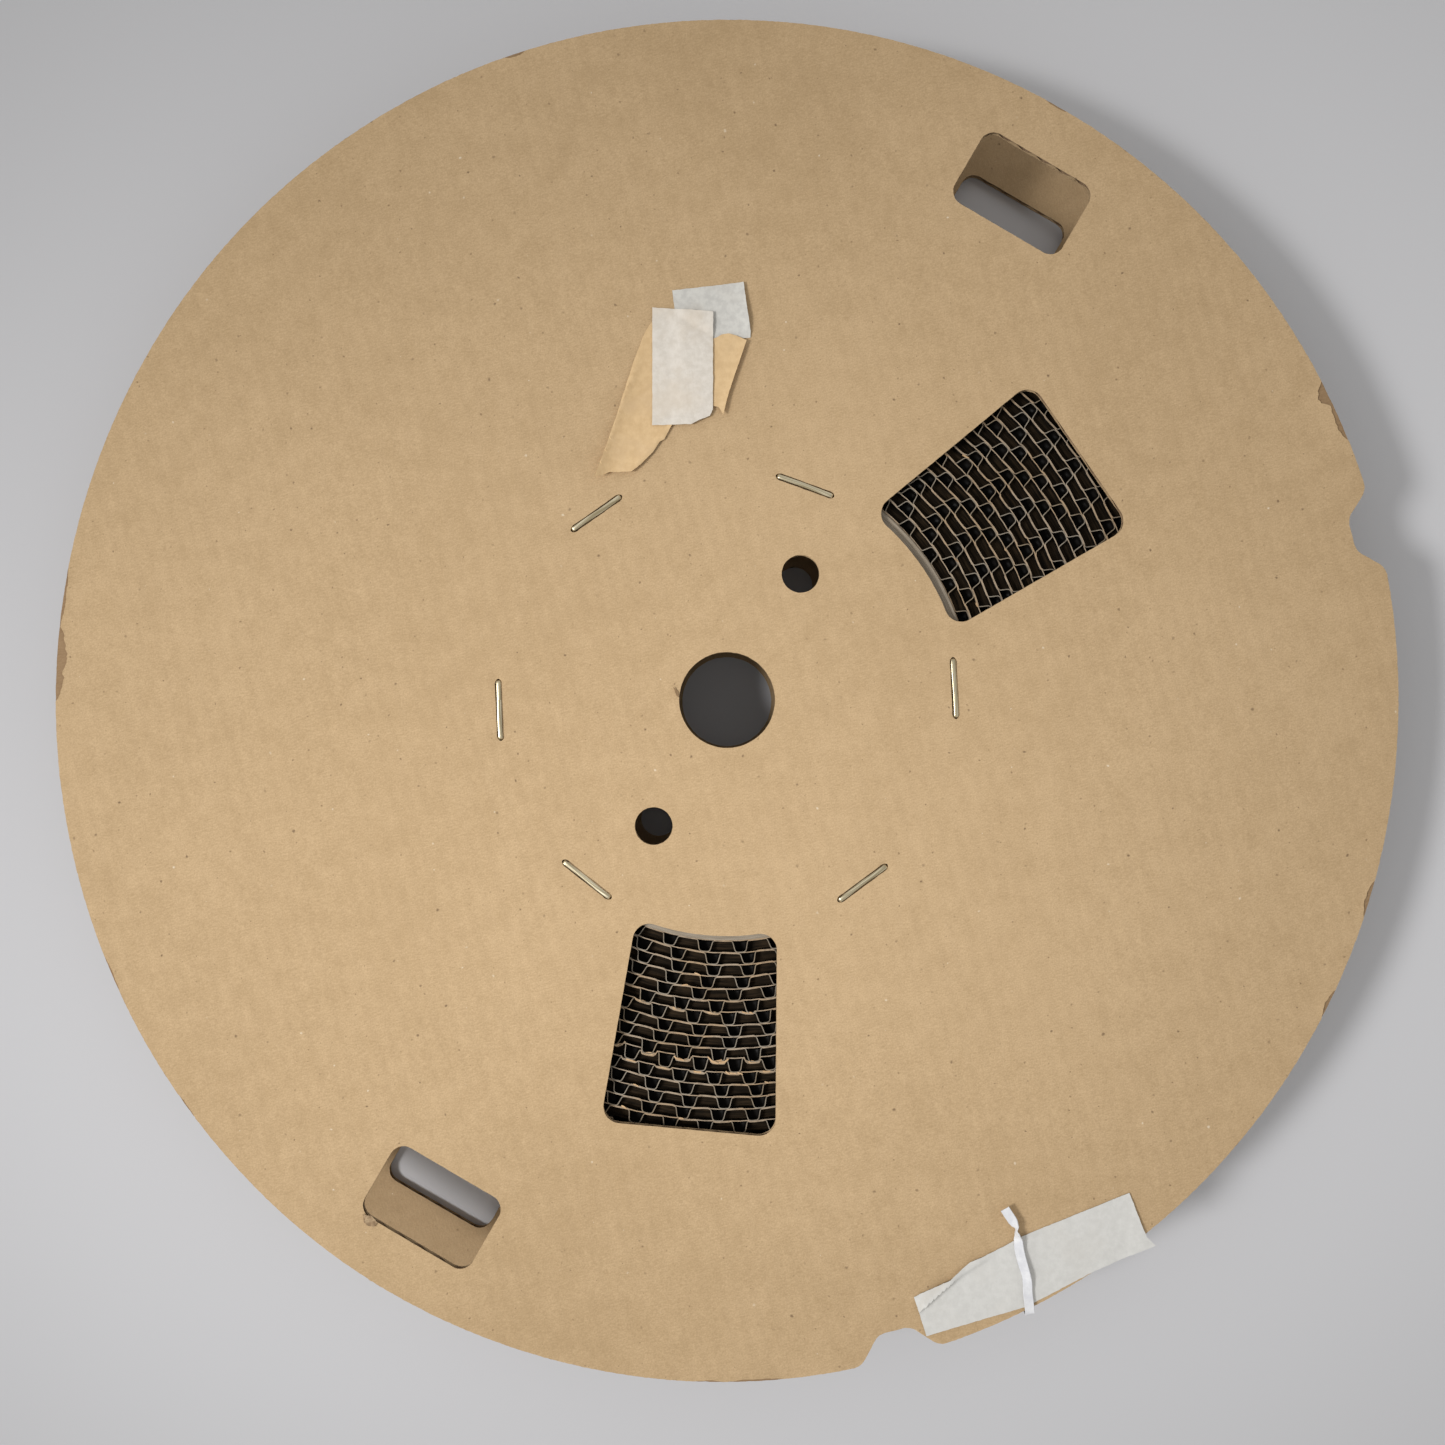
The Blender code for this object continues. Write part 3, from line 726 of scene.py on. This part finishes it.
# --- staples ---
def staple(number, end, angle, face, way):
    """A flat-wire staple: a slightly bowed crown, and legs clinched behind the hub's tab."""
    half, bend, depth = STAPLE_CROWN / 2 - 0.3, 0.9, 5.2
    run = [(-half + STAPLE_CLINCH, -depth), (-half + 0.8, -depth), (-half + 0.2, -depth + 0.25)]
    run += [(-half, -depth + 0.8), (-half, -bend - 0.4)]
    bends = (0.0, 0.3, 0.6, 0.9, 1.2, 1.57)
    run += [(-half + bend * (1 - cos(t)), -bend + bend * sin(t)) for t in bends]
    run += [(-half + bend + (half - bend) * k / 8, 0.0) for k in range(1, 9)]
    run += [(-along, up) for along, up in reversed(run[:-1])]
    flat = placed([(0.10 * sin(along / 4 + angle), along) for along, _ in run], STAPLE_RADIUS, angle)
    path = [Vector((x, y, face + way * (0.34 + up))) for (x, y), (_, up) in zip(flat, run)]
    section = [(0.92 * cos(pi * k / 7), 0.27 * sin(pi * k / 7)) for k in range(14)]
    verts, faces = swept(path, [Vector((*polar(1.0, angle), 0.0))] * len(path), section)
    name = f"{end}_staple_{number}"
    made(name + "_wire", verts, faces, (staple_steel,), slot="staple_wire", replaces=name, smooth=50)


def staples():
    for number, angle in enumerate(FRONT_STAPLES, 1):
        staple(number, "front", angle, FRONT_FACE + front_warp(*polar(STAPLE_RADIUS, angle)), 1)
    for number, angle in enumerate(REAR_STAPLES, 1):
        staple(number, "rear", angle, REAR_FACE - 0.05, -1)


# --- hub ---
def hub_shift(angle):
    """The tube isn't quite centred: it is widest up and to the right, and tight at the lower window."""
    return -1.3 + cos(radians(angle - 60))


def hub():
    steps = 360
    profile = [
        (HUB_INNER, HUB_LOW), (HUB_INNER, HUB_HIGH - 0.25), (HUB_INNER + 0.25, HUB_HIGH),
        (HUB_INNER + 1.2, HUB_HIGH - 0.06), (HUB_INNER + 2.4, HUB_HIGH), (HUB_OUTER - 0.3, HUB_HIGH),
        (HUB_OUTER, HUB_HIGH - 0.3), (HUB_OUTER, HUB_LOW),
    ]
    verts = []
    for i in range(steps):
        angle = 360 * i / steps
        for radius, level in profile:
            x, y = polar(radius + hub_shift(angle), angle)
            dent = 0.12 * rough(x, y, 1.6, 71) if level > HUB_HIGH - 0.4 else 0.0
            verts.append((x, y, min(level + dent, HUB_HIGH)))
    faces = [tuple(i % len(verts) for i in face) for face in quads(steps + 1, len(profile))]
    made("hub_tube", verts, faces, (hub_fibre,), slot="hub_fibreboard", replaces="hub_ring", smooth=40)
    root = HUB_INNER + 0.2
    shape = [(TAB_TIP, -TAB_TIP_HALF), (root, -TAB_ROOT_HALF), (root, TAB_ROOT_HALF), (TAB_TIP, TAB_TIP_HALF)]
    shape = rounded(shape, 3.0, (0, 3), 4)
    size = len(shape)
    faces = quads(2, size) + [tuple(range(size))[::-1], tuple(range(size, 2 * size))]
    parts = []
    for angles, low in ((FRONT_STAPLES, HUB_HIGH - TAB_THICKNESS - 0.05), (REAR_STAPLES, HUB_LOW + 0.05)):
        for angle in angles:
            outline = placed(shape, 0.0, angle)
            parts.append(([(x, y, level) for level in (low, low + TAB_THICKNESS) for x, y in outline], faces))
    joined("hub_tabs", parts, hub_fibre, slot="hub_fibreboard")


# --- carrier tape ---
# Half of a pocket's outline: how far from its middle, and how deep as a share of the whole.
HALF_POCKET = (
    (3.75, 0.0), (3.42, 0.02), (3.16, 0.08), (2.95, 0.2), (2.36, 0.72), (2.08, 0.88), (1.6, 0.97), (0.8, 1.0),
)
POCKET = [(-across, share) for across, share in HALF_POCKET] + list(HALF_POCKET[::-1])
FLAT = (-POCKET_PITCH / 2, -6.2, -5.2, -4.4)

# Kinked places: where in the winding, how far around it lasts, and how far the line is pushed in and out.
ZIGZAG_TURN, CRUSHED_TURN = 8.43, 10.07
KINKS = ((6.07, 0.07, 0.3), (ZIGZAG_TURN, 0.06, 0.12), (CRUSHED_TURN, 0.07, 0.95), (11.07, 0.05, 0.25))
SOME_KINK, STRONG_KINK = 0.15, 0.5


def pocket_centres():
    """The turned angle of the middle of each pocket, from the tape's start at the hub."""
    turned, result = 0.0, []
    while turned < 360 * (LAST_TURN + 0.02):
        result.append(turned)
        radius = FIRST_LINE + TURN_PITCH * turned / 360
        turned += degrees(POCKET_PITCH * (1 + chance.uniform(-0.008, 0.008)) / radius)
    return np.array(result)


def meshed(centres, place, share):
    """Pockets nudged before that place, to be that share of a pitch off those of the turn below."""
    count = np.arange(len(centres))
    now = np.interp(place, centres, count) - np.interp(place - 360, centres, count)
    miss = (now - share + 0.5) % 1.0 - 0.5
    step = degrees(POCKET_PITCH / (FIRST_LINE + TURN_PITCH * place / 360))
    return centres + miss * step * np.clip((centres - place + 200) / 160, 0.0, 1.0)


CENTRES = meshed(meshed(pocket_centres(), 360 * ZIGZAG_TURN, 0.0), 360 * CRUSHED_TURN, 0.5)


def kink(turns):
    """How far the line is pushed in and out there, in mm."""
    return sum(most * exp(-((turns - place) / reach) ** 4) for place, reach, most in KINKS)


def line_radius(turned):
    """The radius of the tape's flat: a loose spiral, pushed out by the pockets of the turn below."""
    x, y = polar(1.0, turned)
    turns = turned / 360
    radius = FIRST_LINE + TURN_PITCH * turns + 1.5 * ease((turns - SEEN_TURNS) / 2.9)
    loose = ease(turns)
    radius += loose * 0.34 * noise.noise(Vector((x * 1.7, y * 1.7, turns * 0.45)))
    radius += loose * 0.16 * noise.noise(Vector((x * 8.0, y * 8.0, turns * 2.3)))
    if turned > 360:
        below = np.interp(turned - 360, CENTRES, np.arange(len(CENTRES)))
        beat = cos(2 * pi * below)
        radius += 0.17 * beat + kink(turns) * max(-1.0, min(1.0, 2.2 * beat))
    return min(radius, PACK_OUTER - 4.9)


def pocket_depth(turned):
    """A pocket reaches the turn that lies on it."""
    return max(3.9, min(5.6, line_radius(turned + 360) - line_radius(turned) - 0.52))


def run_of(turned, depth):
    """One pitch of tape: (radius, turned angle, is it the pocket's wall) of each point along it."""
    middle = line_radius(turned)
    slope = (line_radius(turned + 1.5) - line_radius(turned - 1.5)) / (2 * radians(1.5) * middle)

    def flat(across):
        there = turned + degrees(across / middle)
        return line_radius(there), there, False

    walls = []
    for across, share in POCKET:
        radius = middle + slope * across * (1 - share) + depth * share
        walls.append((radius, turned + degrees(across / middle), share > 0.01))
    return [flat(across) for across in FLAT] + walls + [flat(-across) for across in FLAT[:0:-1]]


def along_top(spots):
    """Material numbers of a strip: on its top 2 where the spots' last entry is true, else 1. 0 elsewhere."""
    return [k for a, b in zip(spots, spots[1:]) for k in (2 if a[-1] and b[-1] else 1, 0, 0, 0)]


def wound_tape():
    """All turns but the last: the pocketed strip, standing on edge, with its cut edge on top painted pale as
    dust and painted highlight, greyer painted highlight along the pocket walls.
    """
    spots = []
    for turned in CENTRES[CENTRES < 360 * (LAST_TURN - 0.99)]:
        spots += run_of(turned, pocket_depth(turned) * chance.uniform(0.97, 1.0))
    flat = [polar(radius, TAPE_START + there) for radius, there, _ in spots]
    verts = []
    for i, (x, y) in enumerate(flat):
        px, py = flat[max(i - 1, 0)]
        nx, ny = flat[min(i + 1, len(flat) - 1)]
        length = hypot(nx - px, ny - py)
        ox, oy = (ny - py) / length * TAPE_THICKNESS / 2, -(nx - px) / length * TAPE_THICKNESS / 2
        sides = ((1, TAPE_HIGH), (-1, TAPE_HIGH), (-1, TAPE_LOW), (1, TAPE_LOW))
        verts += [(x + ox * side, y + oy * side, level) for side, level in sides]
    faces, materials = quads(len(spots), 4, flip=True), (tape_black, pale_edge_dust_and_highlight, wall_edge_highlight_and_wear)
    made(
        "carrier_tape_wound", verts, faces, materials, along_top(spots),
        slot="carrier_tape", replaces="carrier_tape_pack",
    )


def cover_tape():
    """The thin cover tape that closes the pockets. Where the tape is kinked it leans over, and its top is
    painted tan, partly its own colour and partly painted highlight.
    """
    spots = []
    for turned in CENTRES[CENTRES < 360 * COVER_TURNS]:
        middle, much = line_radius(turned), kink(turned / 360)
        for across in (-7.2, -5.6, -4.2, -3.5, 0.0, 3.5, 4.2, 5.6):
            there = turned + degrees(across / middle)
            radius = middle if abs(across) < 3.6 else line_radius(there)
            leans = much > SOME_KINK and abs(across) > 4.5
            lean = chance.uniform(0.1, 1.2 * much + 0.2) if leans else 0.0
            spots.append((radius - 0.30 + 0.12 * (across == 0.0), there, lean, leans))
    verts = []
    top, bottom = TAPE_HIGH - 0.05, TAPE_HIGH - COVER_WIDTH
    for radius, there, lean, _ in spots:
        x, y = polar(1.0, TAPE_START + there)
        inner, outer = radius - COVER_HALF, radius + COVER_HALF
        corners = ((outer, top), (inner - lean, top - 0.4 * lean), (inner, bottom), (outer, bottom))
        verts += [(x * r, y * r, level) for r, level in corners]
    materials = (tape_black, pale_edge_dust_and_highlight, cover_tan_and_highlight)
    made("cover_tape_edges", verts, quads(len(spots), 4), materials, along_top(spots), slot="carrier_tape")


def cover_bits():
    """Small pieces of cover tape that have curled up over the edge, painted tan: partly their own colour,
    partly painted highlight.
    """
    parts = []
    for turned in CENTRES:
        turns = turned / 360
        much = kink(turns)
        offset = TAPE_START + turned - DIE_AXIS
        shown = min(abs((offset - side * WINDOW_OFFSET + 180) % 360 - 180) for side in (1, -1)) < 19
        likely = 0.8 if much > STRONG_KINK else 0.45 if much > 0.08 else 0.05
        if turns > BIT_TURNS or not shown or chance.random() > likely:
            continue
        strong = much > STRONG_KINK
        middle = chance.uniform(3.4, 6.5) * chance.choice((-1, 1))
        width = chance.uniform(0.8, 1.25) if strong else chance.uniform(0.45, 0.9)
        reach = chance.uniform(1.8, 3.0) if strong else chance.uniform(0.6, 1.5)
        swing = chance.uniform(-0.5, 0.5)
        verts = []
        for k in range(6):
            across = middle + reach * (k / 2.5 - 1)
            there = turned + degrees(across / line_radius(turned))
            radius = line_radius(there) - 0.2 + swing * (k / 2.5 - 1)
            narrow = width * sin(pi * (k + 0.6) / 6.2) ** 0.5
            curl = 0.3 * sin(pi * k / 5)
            corners = ((radius, 0.08), (radius - narrow, 0.1 + curl), (radius - narrow, curl), (radius, -0.8))
            verts += [(*polar(r, TAPE_START + there), TAPE_HIGH + up) for r, up in corners]
        parts.append((verts, quads(6, 4) + [(3, 2, 1, 0), (20, 21, 22, 23)]))
    joined("cover_tape_bits", parts, cover_tan_and_highlight, slot="aged_masking_paper", smooth=60)


def pocket_ends():
    """The black end walls of the pockets, and between them a sheet of painted shade for the dark depth, a
    little below the tape's edge.
    """
    walls, shade_sheets = [], []
    count, shares, steps = len(POCKET), (0.0, 0.35, 0.68, 1.0), 6
    wall_faces = quads(2, count) + [tuple(range(count, 2 * count))]
    shade_sheet_faces = quads(len(shares), steps, closed=False)
    for turned, after in zip(CENTRES, CENTRES[1:]):
        if turned > 360 * SEEN_TURNS:
            break
        middle, depth = line_radius(turned), pocket_depth(turned)
        outline = [
            polar(middle + depth * share, TAPE_START + turned + degrees(across / middle))
            for across, share in POCKET
        ]
        tip = TAPE_HIGH - ENDS_DOWN - 1.2 + 0.35 * rough(turned, middle, 9, 6)
        hx, hy = polar(middle + depth * 0.55, TAPE_START + turned)
        verts = [(x, y, TAPE_HIGH - ENDS_DOWN) for x, y in outline]
        verts += [(x + (hx - x) * 0.35, y + (hy - y) * 0.35, tip) for x, y in outline]
        walls.append((verts, wall_faces))
        # Painted shade: a dark sheet where there is only the shaded depth between the turns.
        verts = []
        for share in shares:
            half = 3.2 - 1.2 * share
            first = turned + degrees(half / middle)
            last = after - degrees(half / line_radius(after))
            for k in range(steps):
                there = first + (last - first) * k / (steps - 1)
                base = line_radius(there) + 0.15
                room = line_radius(there + 360) - base - 0.2
                level = TAPE_HIGH - ENDS_DOWN - 0.8 * share + 0.4 * rough(there * 2, share * 3, 1.3, 8)
                verts.append((*polar(base + room * share, TAPE_START + there), level))
        shade_sheets.append((verts, shade_sheet_faces))
    joined("carrier_tape_pocket_ends", walls, shaded_pocket_black, slot="carrier_tape", smooth=60)
    joined("carrier_tape_shade_between_pockets", shade_sheets, gap_shade_sheet, slot="carrier_tape", smooth=60)


def outer_turn():
    """The last turn, whose closed pockets bulge outwards between two flat margins."""
    rows = [
        (TAPE_LOW, 0.0), (TAPE_LOW + 0.6, 0.0), (TAPE_LOW + 4.6, 0.0), (TAPE_LOW + 5.0, 0.25),
        (TAPE_LOW + 5.6, 1.0), (TAPE_HIGH - 7.2, 1.0), (TAPE_HIGH - 6.6, 0.25), (TAPE_HIGH - 6.2, 0.0),
        (TAPE_HIGH, 0.0),
    ]
    strips = []
    for turned in CENTRES[CENTRES > 360 * (LAST_TURN - 1.0)]:
        middle = line_radius(turned)
        strips += [
            (line_radius(there), there, radius - middle if wall else 0.0)
            for radius, there, wall in run_of(turned, 4.4)
        ]
    verts = [
        (*polar(base + deep * share + inner, TAPE_START + there), level)
        for inner in (0.0, -0.4) for base, there, deep in strips for level, share in rows
    ]
    height, count = len(rows), len(strips)
    layer = height * count
    walls = quads(count, height, closed=False, flip=True) + quads(count, height, closed=False, start=layer)
    tops = range(height - 1, layer - 1, height)
    edges = [(top, top + height, layer + top + height, layer + top) for top in tops]
    ends = [a for first in (0, layer - height) for a in range(first, first + height - 1)]
    edges += [(a, a + 1, layer + a + 1, layer + a) for a in ends]
    # Its top edge gets the pale dust and painted highlight of the cut edge.
    indices = [0] * len(walls) + [1] * len(edges)
    made(
        "carrier_tape_outer_turn", verts, walls + edges, (tape_black, pale_edge_dust_and_highlight), indices,
        slot="carrier_tape", smooth=40,
    )


def end_tape():
    """The masking tape that holds the tape's end down, stretched from pocket to pocket."""
    columns, rows, start, sweep, low, width = 60, 14, 150.0, 15.0, 13.9, 25.6
    verts = []
    for layer in (0.0, PAPER):
        for i in range(columns + 1):
            angle = start + sweep * i / columns
            sag = 0.25 * sin(radians(angle) * PACK_OUTER / POCKET_PITCH * pi) ** 2
            for k in range(rows + 1):
                torn = 0.25 * rough(k * 2.0, i, 1.5, 9) if i in (0, columns) else 0.0
                spot = polar(PACK_OUTER + 0.15 - sag + layer, angle + torn)
                verts.append((*spot, low + width * k / rows))
    count = rows + 1
    total = (columns + 1) * count
    faces = quads(columns + 1, count, closed=False, start=total, flip=True)
    faces += quads(columns + 1, count, closed=False)
    edge = [*range(0, total, count), *range(total - count + 1, total)]
    edge += [*range(total - count - 1, 0, -count), *range(rows - 1, 0, -1)]
    faces += [(a, b, b + total, a + total) for a, b in zip(edge, edge[1:] + edge[:1])]
    made(
        "end_masking_tape", verts, faces, (white_masking,),
        slot="masking_paper", replaces="pack_end_tape", smooth=50,
    )


# --- paper scraps ---
def edge_distance(x, y, a, b):
    """How far a point is from the line a to b, positive on its left."""
    length = hypot(b[0] - a[0], b[1] - a[1])
    return ((b[0] - a[0]) * (y - a[1]) - (b[1] - a[1]) * (x - a[0])) / length


def laid(name, outline, above, thickness, spacing, papers, lift, **rest):
    """A sheet that lies on the front flange and follows its warp."""
    low = FRONT_FACE + above
    sheet(
        name, [outline], low, low + thickness, spacing, papers,
        lambda x, y: front_warp(x, y) + lift(x, y), **rest,
    )


def scrap(name, outline, level, lift, paper, slot):
    """One of the scraps, laid over those of a lower level."""
    outline = frayed(split(outline, 0.8), 0.12, level * 5 + len(outline))
    replaces = name.replace("masking_", "masking_scrap_")
    laid(name, outline, 0.06 + level * 0.24, PAPER, 1.2, (paper,) * 3, lift, slot=slot, replaces=replaces)


def scraps():
    def top_lift(x, y):
        right = exp(-max(0.0, 8.6 - x) / 3.2)
        return 0.25 + 2.0 * right * ease((y - 148) / 10) + 0.12 * rough(x, y, 6, 51)

    def tan_left_lift(x, y):
        left = exp(-abs(edge_distance(x, y, (-54.0, 91.6), (-31.5, 155.0))) / 3.4)
        tip = ease((112 - y) / 20)
        torn = exp(-abs(edge_distance(x, y, (-39.2, 93.9), (-22.8, 113.0))) / 2.4)
        held = ease((152 - y) / 26)
        return 0.1 + (2.3 + 1.4 * tip) * left * held + 0.9 * tip + 1.3 * torn + 0.1 * rough(x, y, 8, 52)

    def tan_right_lift(x, y):
        right = edge_distance(x, y, (-1.7, 117.2), (8.2, 148.0))
        return 0.45 + 1.7 * exp(-abs(right) / 3.2) + 0.1 * rough(x, y, 6, 53)

    def white_lift(x, y):
        crease = edge_distance(x, y, (-20.0, 158.0), (-5.7, 149.5))
        valley = 1.0 - exp(-abs(crease) / 1.5)
        fold = (1.0 if crease > 0 else 0.65) * valley * ease((x + 24) / 7)
        return 0.5 + fold + 0.6 * ease((118 - y) / 8) + 0.14 * rough(x, y, 7, 54)

    outline = [(-22.6, 168.8), (6.8, 172.1), (7.9, 163.3), (9.7, 152.0), (9.6, 149.3), (-20.0, 148.0)]
    scrap("masking_top", outline, 0, top_lift, grey_masking, "masking_paper")
    outline = [
        (-31.4, 155.6), (-26.0, 155.0), (-22.8, 113.0), (-25.9, 107.3), (-27.6, 106.4), (-30.5, 102.1),
        (-35.2, 97.2), (-39.2, 93.9), (-48.4, 93.7), (-50.5, 92.6), (-54.2, 91.4), (-45.0, 118.3),
        (-38.6, 139.2), (-34.3, 150.8),
    ]
    scrap("masking_tan_left", outline, 0, tan_left_lift, tan_masking, "aged_masking_paper")
    outline = [
        (-12.0, 149.0), (-5.0, 149.0), (-2.2, 150.5), (0.7, 151.0), (3.6, 150.2), (5.9, 149.0), (8.0, 147.8),
        (0.7, 126.4), (-1.6, 117.4), (-3.3, 120.4), (-5.7, 121.2), (-12.0, 121.0),
    ]
    scrap("masking_tan_right", outline, 0.6, tan_right_lift, tan_masking, "aged_masking_paper")
    outline = [
        (-30.8, 161.6), (-5.7, 159.8), (-5.9, 119.5), (-7.1, 116.9), (-11.4, 115.2), (-14.9, 113.4),
        (-30.8, 113.1),
    ]
    scrap("masking_white", outline, 1.6, white_lift, white_masking, "masking_paper")


def torn_bits():
    """Two small flaps of liner: one torn at the arbor hole, one crumpled at the lower hand hole's corner."""
    def torn_lift(x, _):
        return 0.25 + 0.5 * ease((-20.4 - x) / 1.6)

    def crumpled_lift(x, y):
        return 0.35 + 0.9 * abs(rough(x, y, 2.4, 81)) + 0.35 * rough(x, y, 1.1, 82)

    torn = [(-19.9, 1.0), (-20.2, 3.2), (-21.5, 5.0), (-22.2, 5.4), (-21.6, 3.6), (-20.8, 1.8)]
    crumpled = [
        (-149.6, -211.2), (-146.2, -211.9), (-143.4, -214.6), (-145.0, -216.4), (-147.2, -216.0),
        (-149.0, -214.2),
    ]
    for name, outline, paper, lift in (
        ("torn_flap", frayed(torn, 0.2, 4.0), front_ply, torn_lift),
        ("crumpled_flap", frayed(split(crumpled, 0.7), 0.35, 6.0), liner_edge, crumpled_lift),
    ):
        laid(name, outline, 0.05, 0.1, 0.6, (paper, liner_edge, front_ply), lift, slot="kraft_liner")


def rim_strip():
    """The torn strip of masking tape near the rim, with a ridge along its upper left edge."""
    outline = [
        (76.8, -245.5), (81.9, -261.4), (123.2, -249.2), (151.4, -234.8), (165.0, -228.9), (176.2, -224.3),
        (172.6, -220.9), (170.7, -216.4), (165.6, -203.0), (121.7, -220.5), (110.0, -226.7), (99.7, -231.2),
        (91.5, -237.8),
    ]

    def lift(x, y):
        ridge = edge_distance(x, y, (81.0, -250.6), (108.0, -230.2)) - 1.5 * sin(pi * (x - 78) / 30)
        fade = 0.35 * ease((112 - x) / 10) + 0.65 * ease((98 - x) / 8)
        fade *= ease((x - 76) / 6)
        crest = 3.3 * fade * exp(-((ridge - 1.0) / (0.9 if ridge < 1.0 else 3.2)) ** 2)
        end = 0.9 * ease((x - 163) / 9)
        dip = 0.35 * exp(-((x - 118) / 7) ** 2)
        return 0.2 + crest + end + dip + 0.15 * rough(x, y, 9, 55) + 0.05 * rough(x, y, 3, 56)

    outline = frayed(split(outline, 0.8), 0.14, 61.0)
    laid(
        "rim_masking_tape", outline, 0.1, 0.16, 0.9, (strip_masking,) * 3, lift,
        slot="masking_paper", replaces="rim_masking_strip",
    )


# --- twisted tie ---
# Where the tie goes: across, up, above the front flange, and how far it is turned.
TIE_ROUTE = (
    (113.8, -208.6, 3.3, 8), (115.2, -210.8, 3.2, 2), (116.8, -213.2, 3.0, 8), (118.0, -215.6, 2.8, 50),
    (118.6, -217.4, 2.6, 95), (119.1, -219.6, 2.5, 70), (119.5, -222.2, 2.3, 30), (120.0, -226.2, 2.1, 8),
    (121.2, -231.0, 2.3, 14), (122.8, -236.4, 2.1, 30), (123.2, -239.6, 2.0, 12), (123.3, -243.0, 1.9, 0),
    (123.8, -247.4, 1.8, 4), (124.2, -250.9, 1.2, 2), (124.4, -252.3, 0.1, 0), (124.5, -252.7, -2.0, 0),
    (124.5, -252.7, -5.6, 0),
)


def twisted_tie():
    """A folded paper strip: a flat free end, one twist, then over the masking tape and the rim."""
    knots = [Vector(spot[:3]) for spot in TIE_ROUTE]
    turns = [spot[3] for spot in TIE_ROUTE]
    path, sides, steps = [], [], 6
    for i, (a, b) in enumerate(zip(knots, knots[1:])):
        before, after = knots[max(i - 1, 0)], knots[min(i + 2, len(knots) - 1)]
        along = (b - a).normalized()
        level = Vector((-along.y, along.x, 0.0))
        level = level.normalized() if level.length > 0.2 else Vector((0.98, 0.2, 0.0))
        for k in range(steps):
            t = k / steps
            spot = 0.5 * (
                2 * a + (b - before) * t + (2 * before - 5 * a + 4 * b - after) * t * t
                + (3 * a - before - 3 * b + after) * t * t * t
            )
            turn = radians(turns[i] + (turns[i + 1] - turns[i]) * ease(t))
            path.append(Vector((spot.x, spot.y, FRONT_FACE + front_warp(spot.x, spot.y) + spot.z)))
            sides.append(level * cos(turn) + along.cross(level) * sin(turn))
    half, thick = 1.95, 0.32
    section = [
        (-half, -0.1), (-half + 0.15, -thick), (-0.3, -thick * 0.8), (half - 0.15, -thick), (half, -0.1),
        (half, 0.1), (half - 0.15, thick), (0.5, 0.02), (-half + 0.15, thick), (-half, 0.1),
    ]
    shape = swept(path, sides, section)
    made("tie_strip_paper", *shape, (tie_paper,), slot="tie_strip", replaces="twisted_tie", smooth=50)


# --- stage, in metres ---
FLOOR_HALF, FLOOR_LEVEL = 60.0, -0.0004


def stage():
    corners = [(FLOOR_HALF * i, FLOOR_HALF * j, FLOOR_LEVEL) for i, j in ((-1, -1), (1, -1), (1, 1), (-1, 1))]
    mesh = bpy.data.meshes.new("floor")
    mesh.from_pydata(corners, [], [(0, 1, 2, 3)])
    mesh.materials.append(Shader("floor", roughness=0.7, specular=0.2).done((0.64, 0.645, 0.67)))
    floor = added("floor", mesh)

    world = bpy.data.worlds.new("studio")
    world.use_nodes = True
    background = world.node_tree.nodes["Background"]
    background.inputs["Color"].default_value = (1.0, 0.985, 0.96, 1.0)
    background.inputs["Strength"].default_value = 0.56
    bpy.context.scene.world = world

    lamp = bpy.data.lights.new("key", "SPOT")
    lamp.energy = 168.0
    lamp.color = (1.0, 0.99, 0.98)
    lamp.shadow_soft_size = 0.3
    lamp.spot_size = radians(24.0)
    lamp.spot_blend = 1.0
    key = added("key", lamp)
    key.location = (-1.3, -0.3, 1.6)
    aim = Vector((-0.045, -0.075, 0.05))
    key.rotation_euler = (aim - key.location).to_track_quat("-Z", "Y").to_euler()

    lens = bpy.data.cameras.new("camera")
    lens.lens = 38.74
    lens.sensor_width = 36.0
    camera = added("camera", lens)
    camera.location = (-0.0019, -0.0093, 0.6941)
    bpy.context.scene.camera = camera
    bpy.context.scene.view_settings.view_transform = "Standard"


flanges()
staples()
hub()
wound_tape()
cover_tape()
cover_bits()
pocket_ends()
outer_turn()
end_tape()
scraps()
torn_bits()
rim_strip()
twisted_tie()
stage()
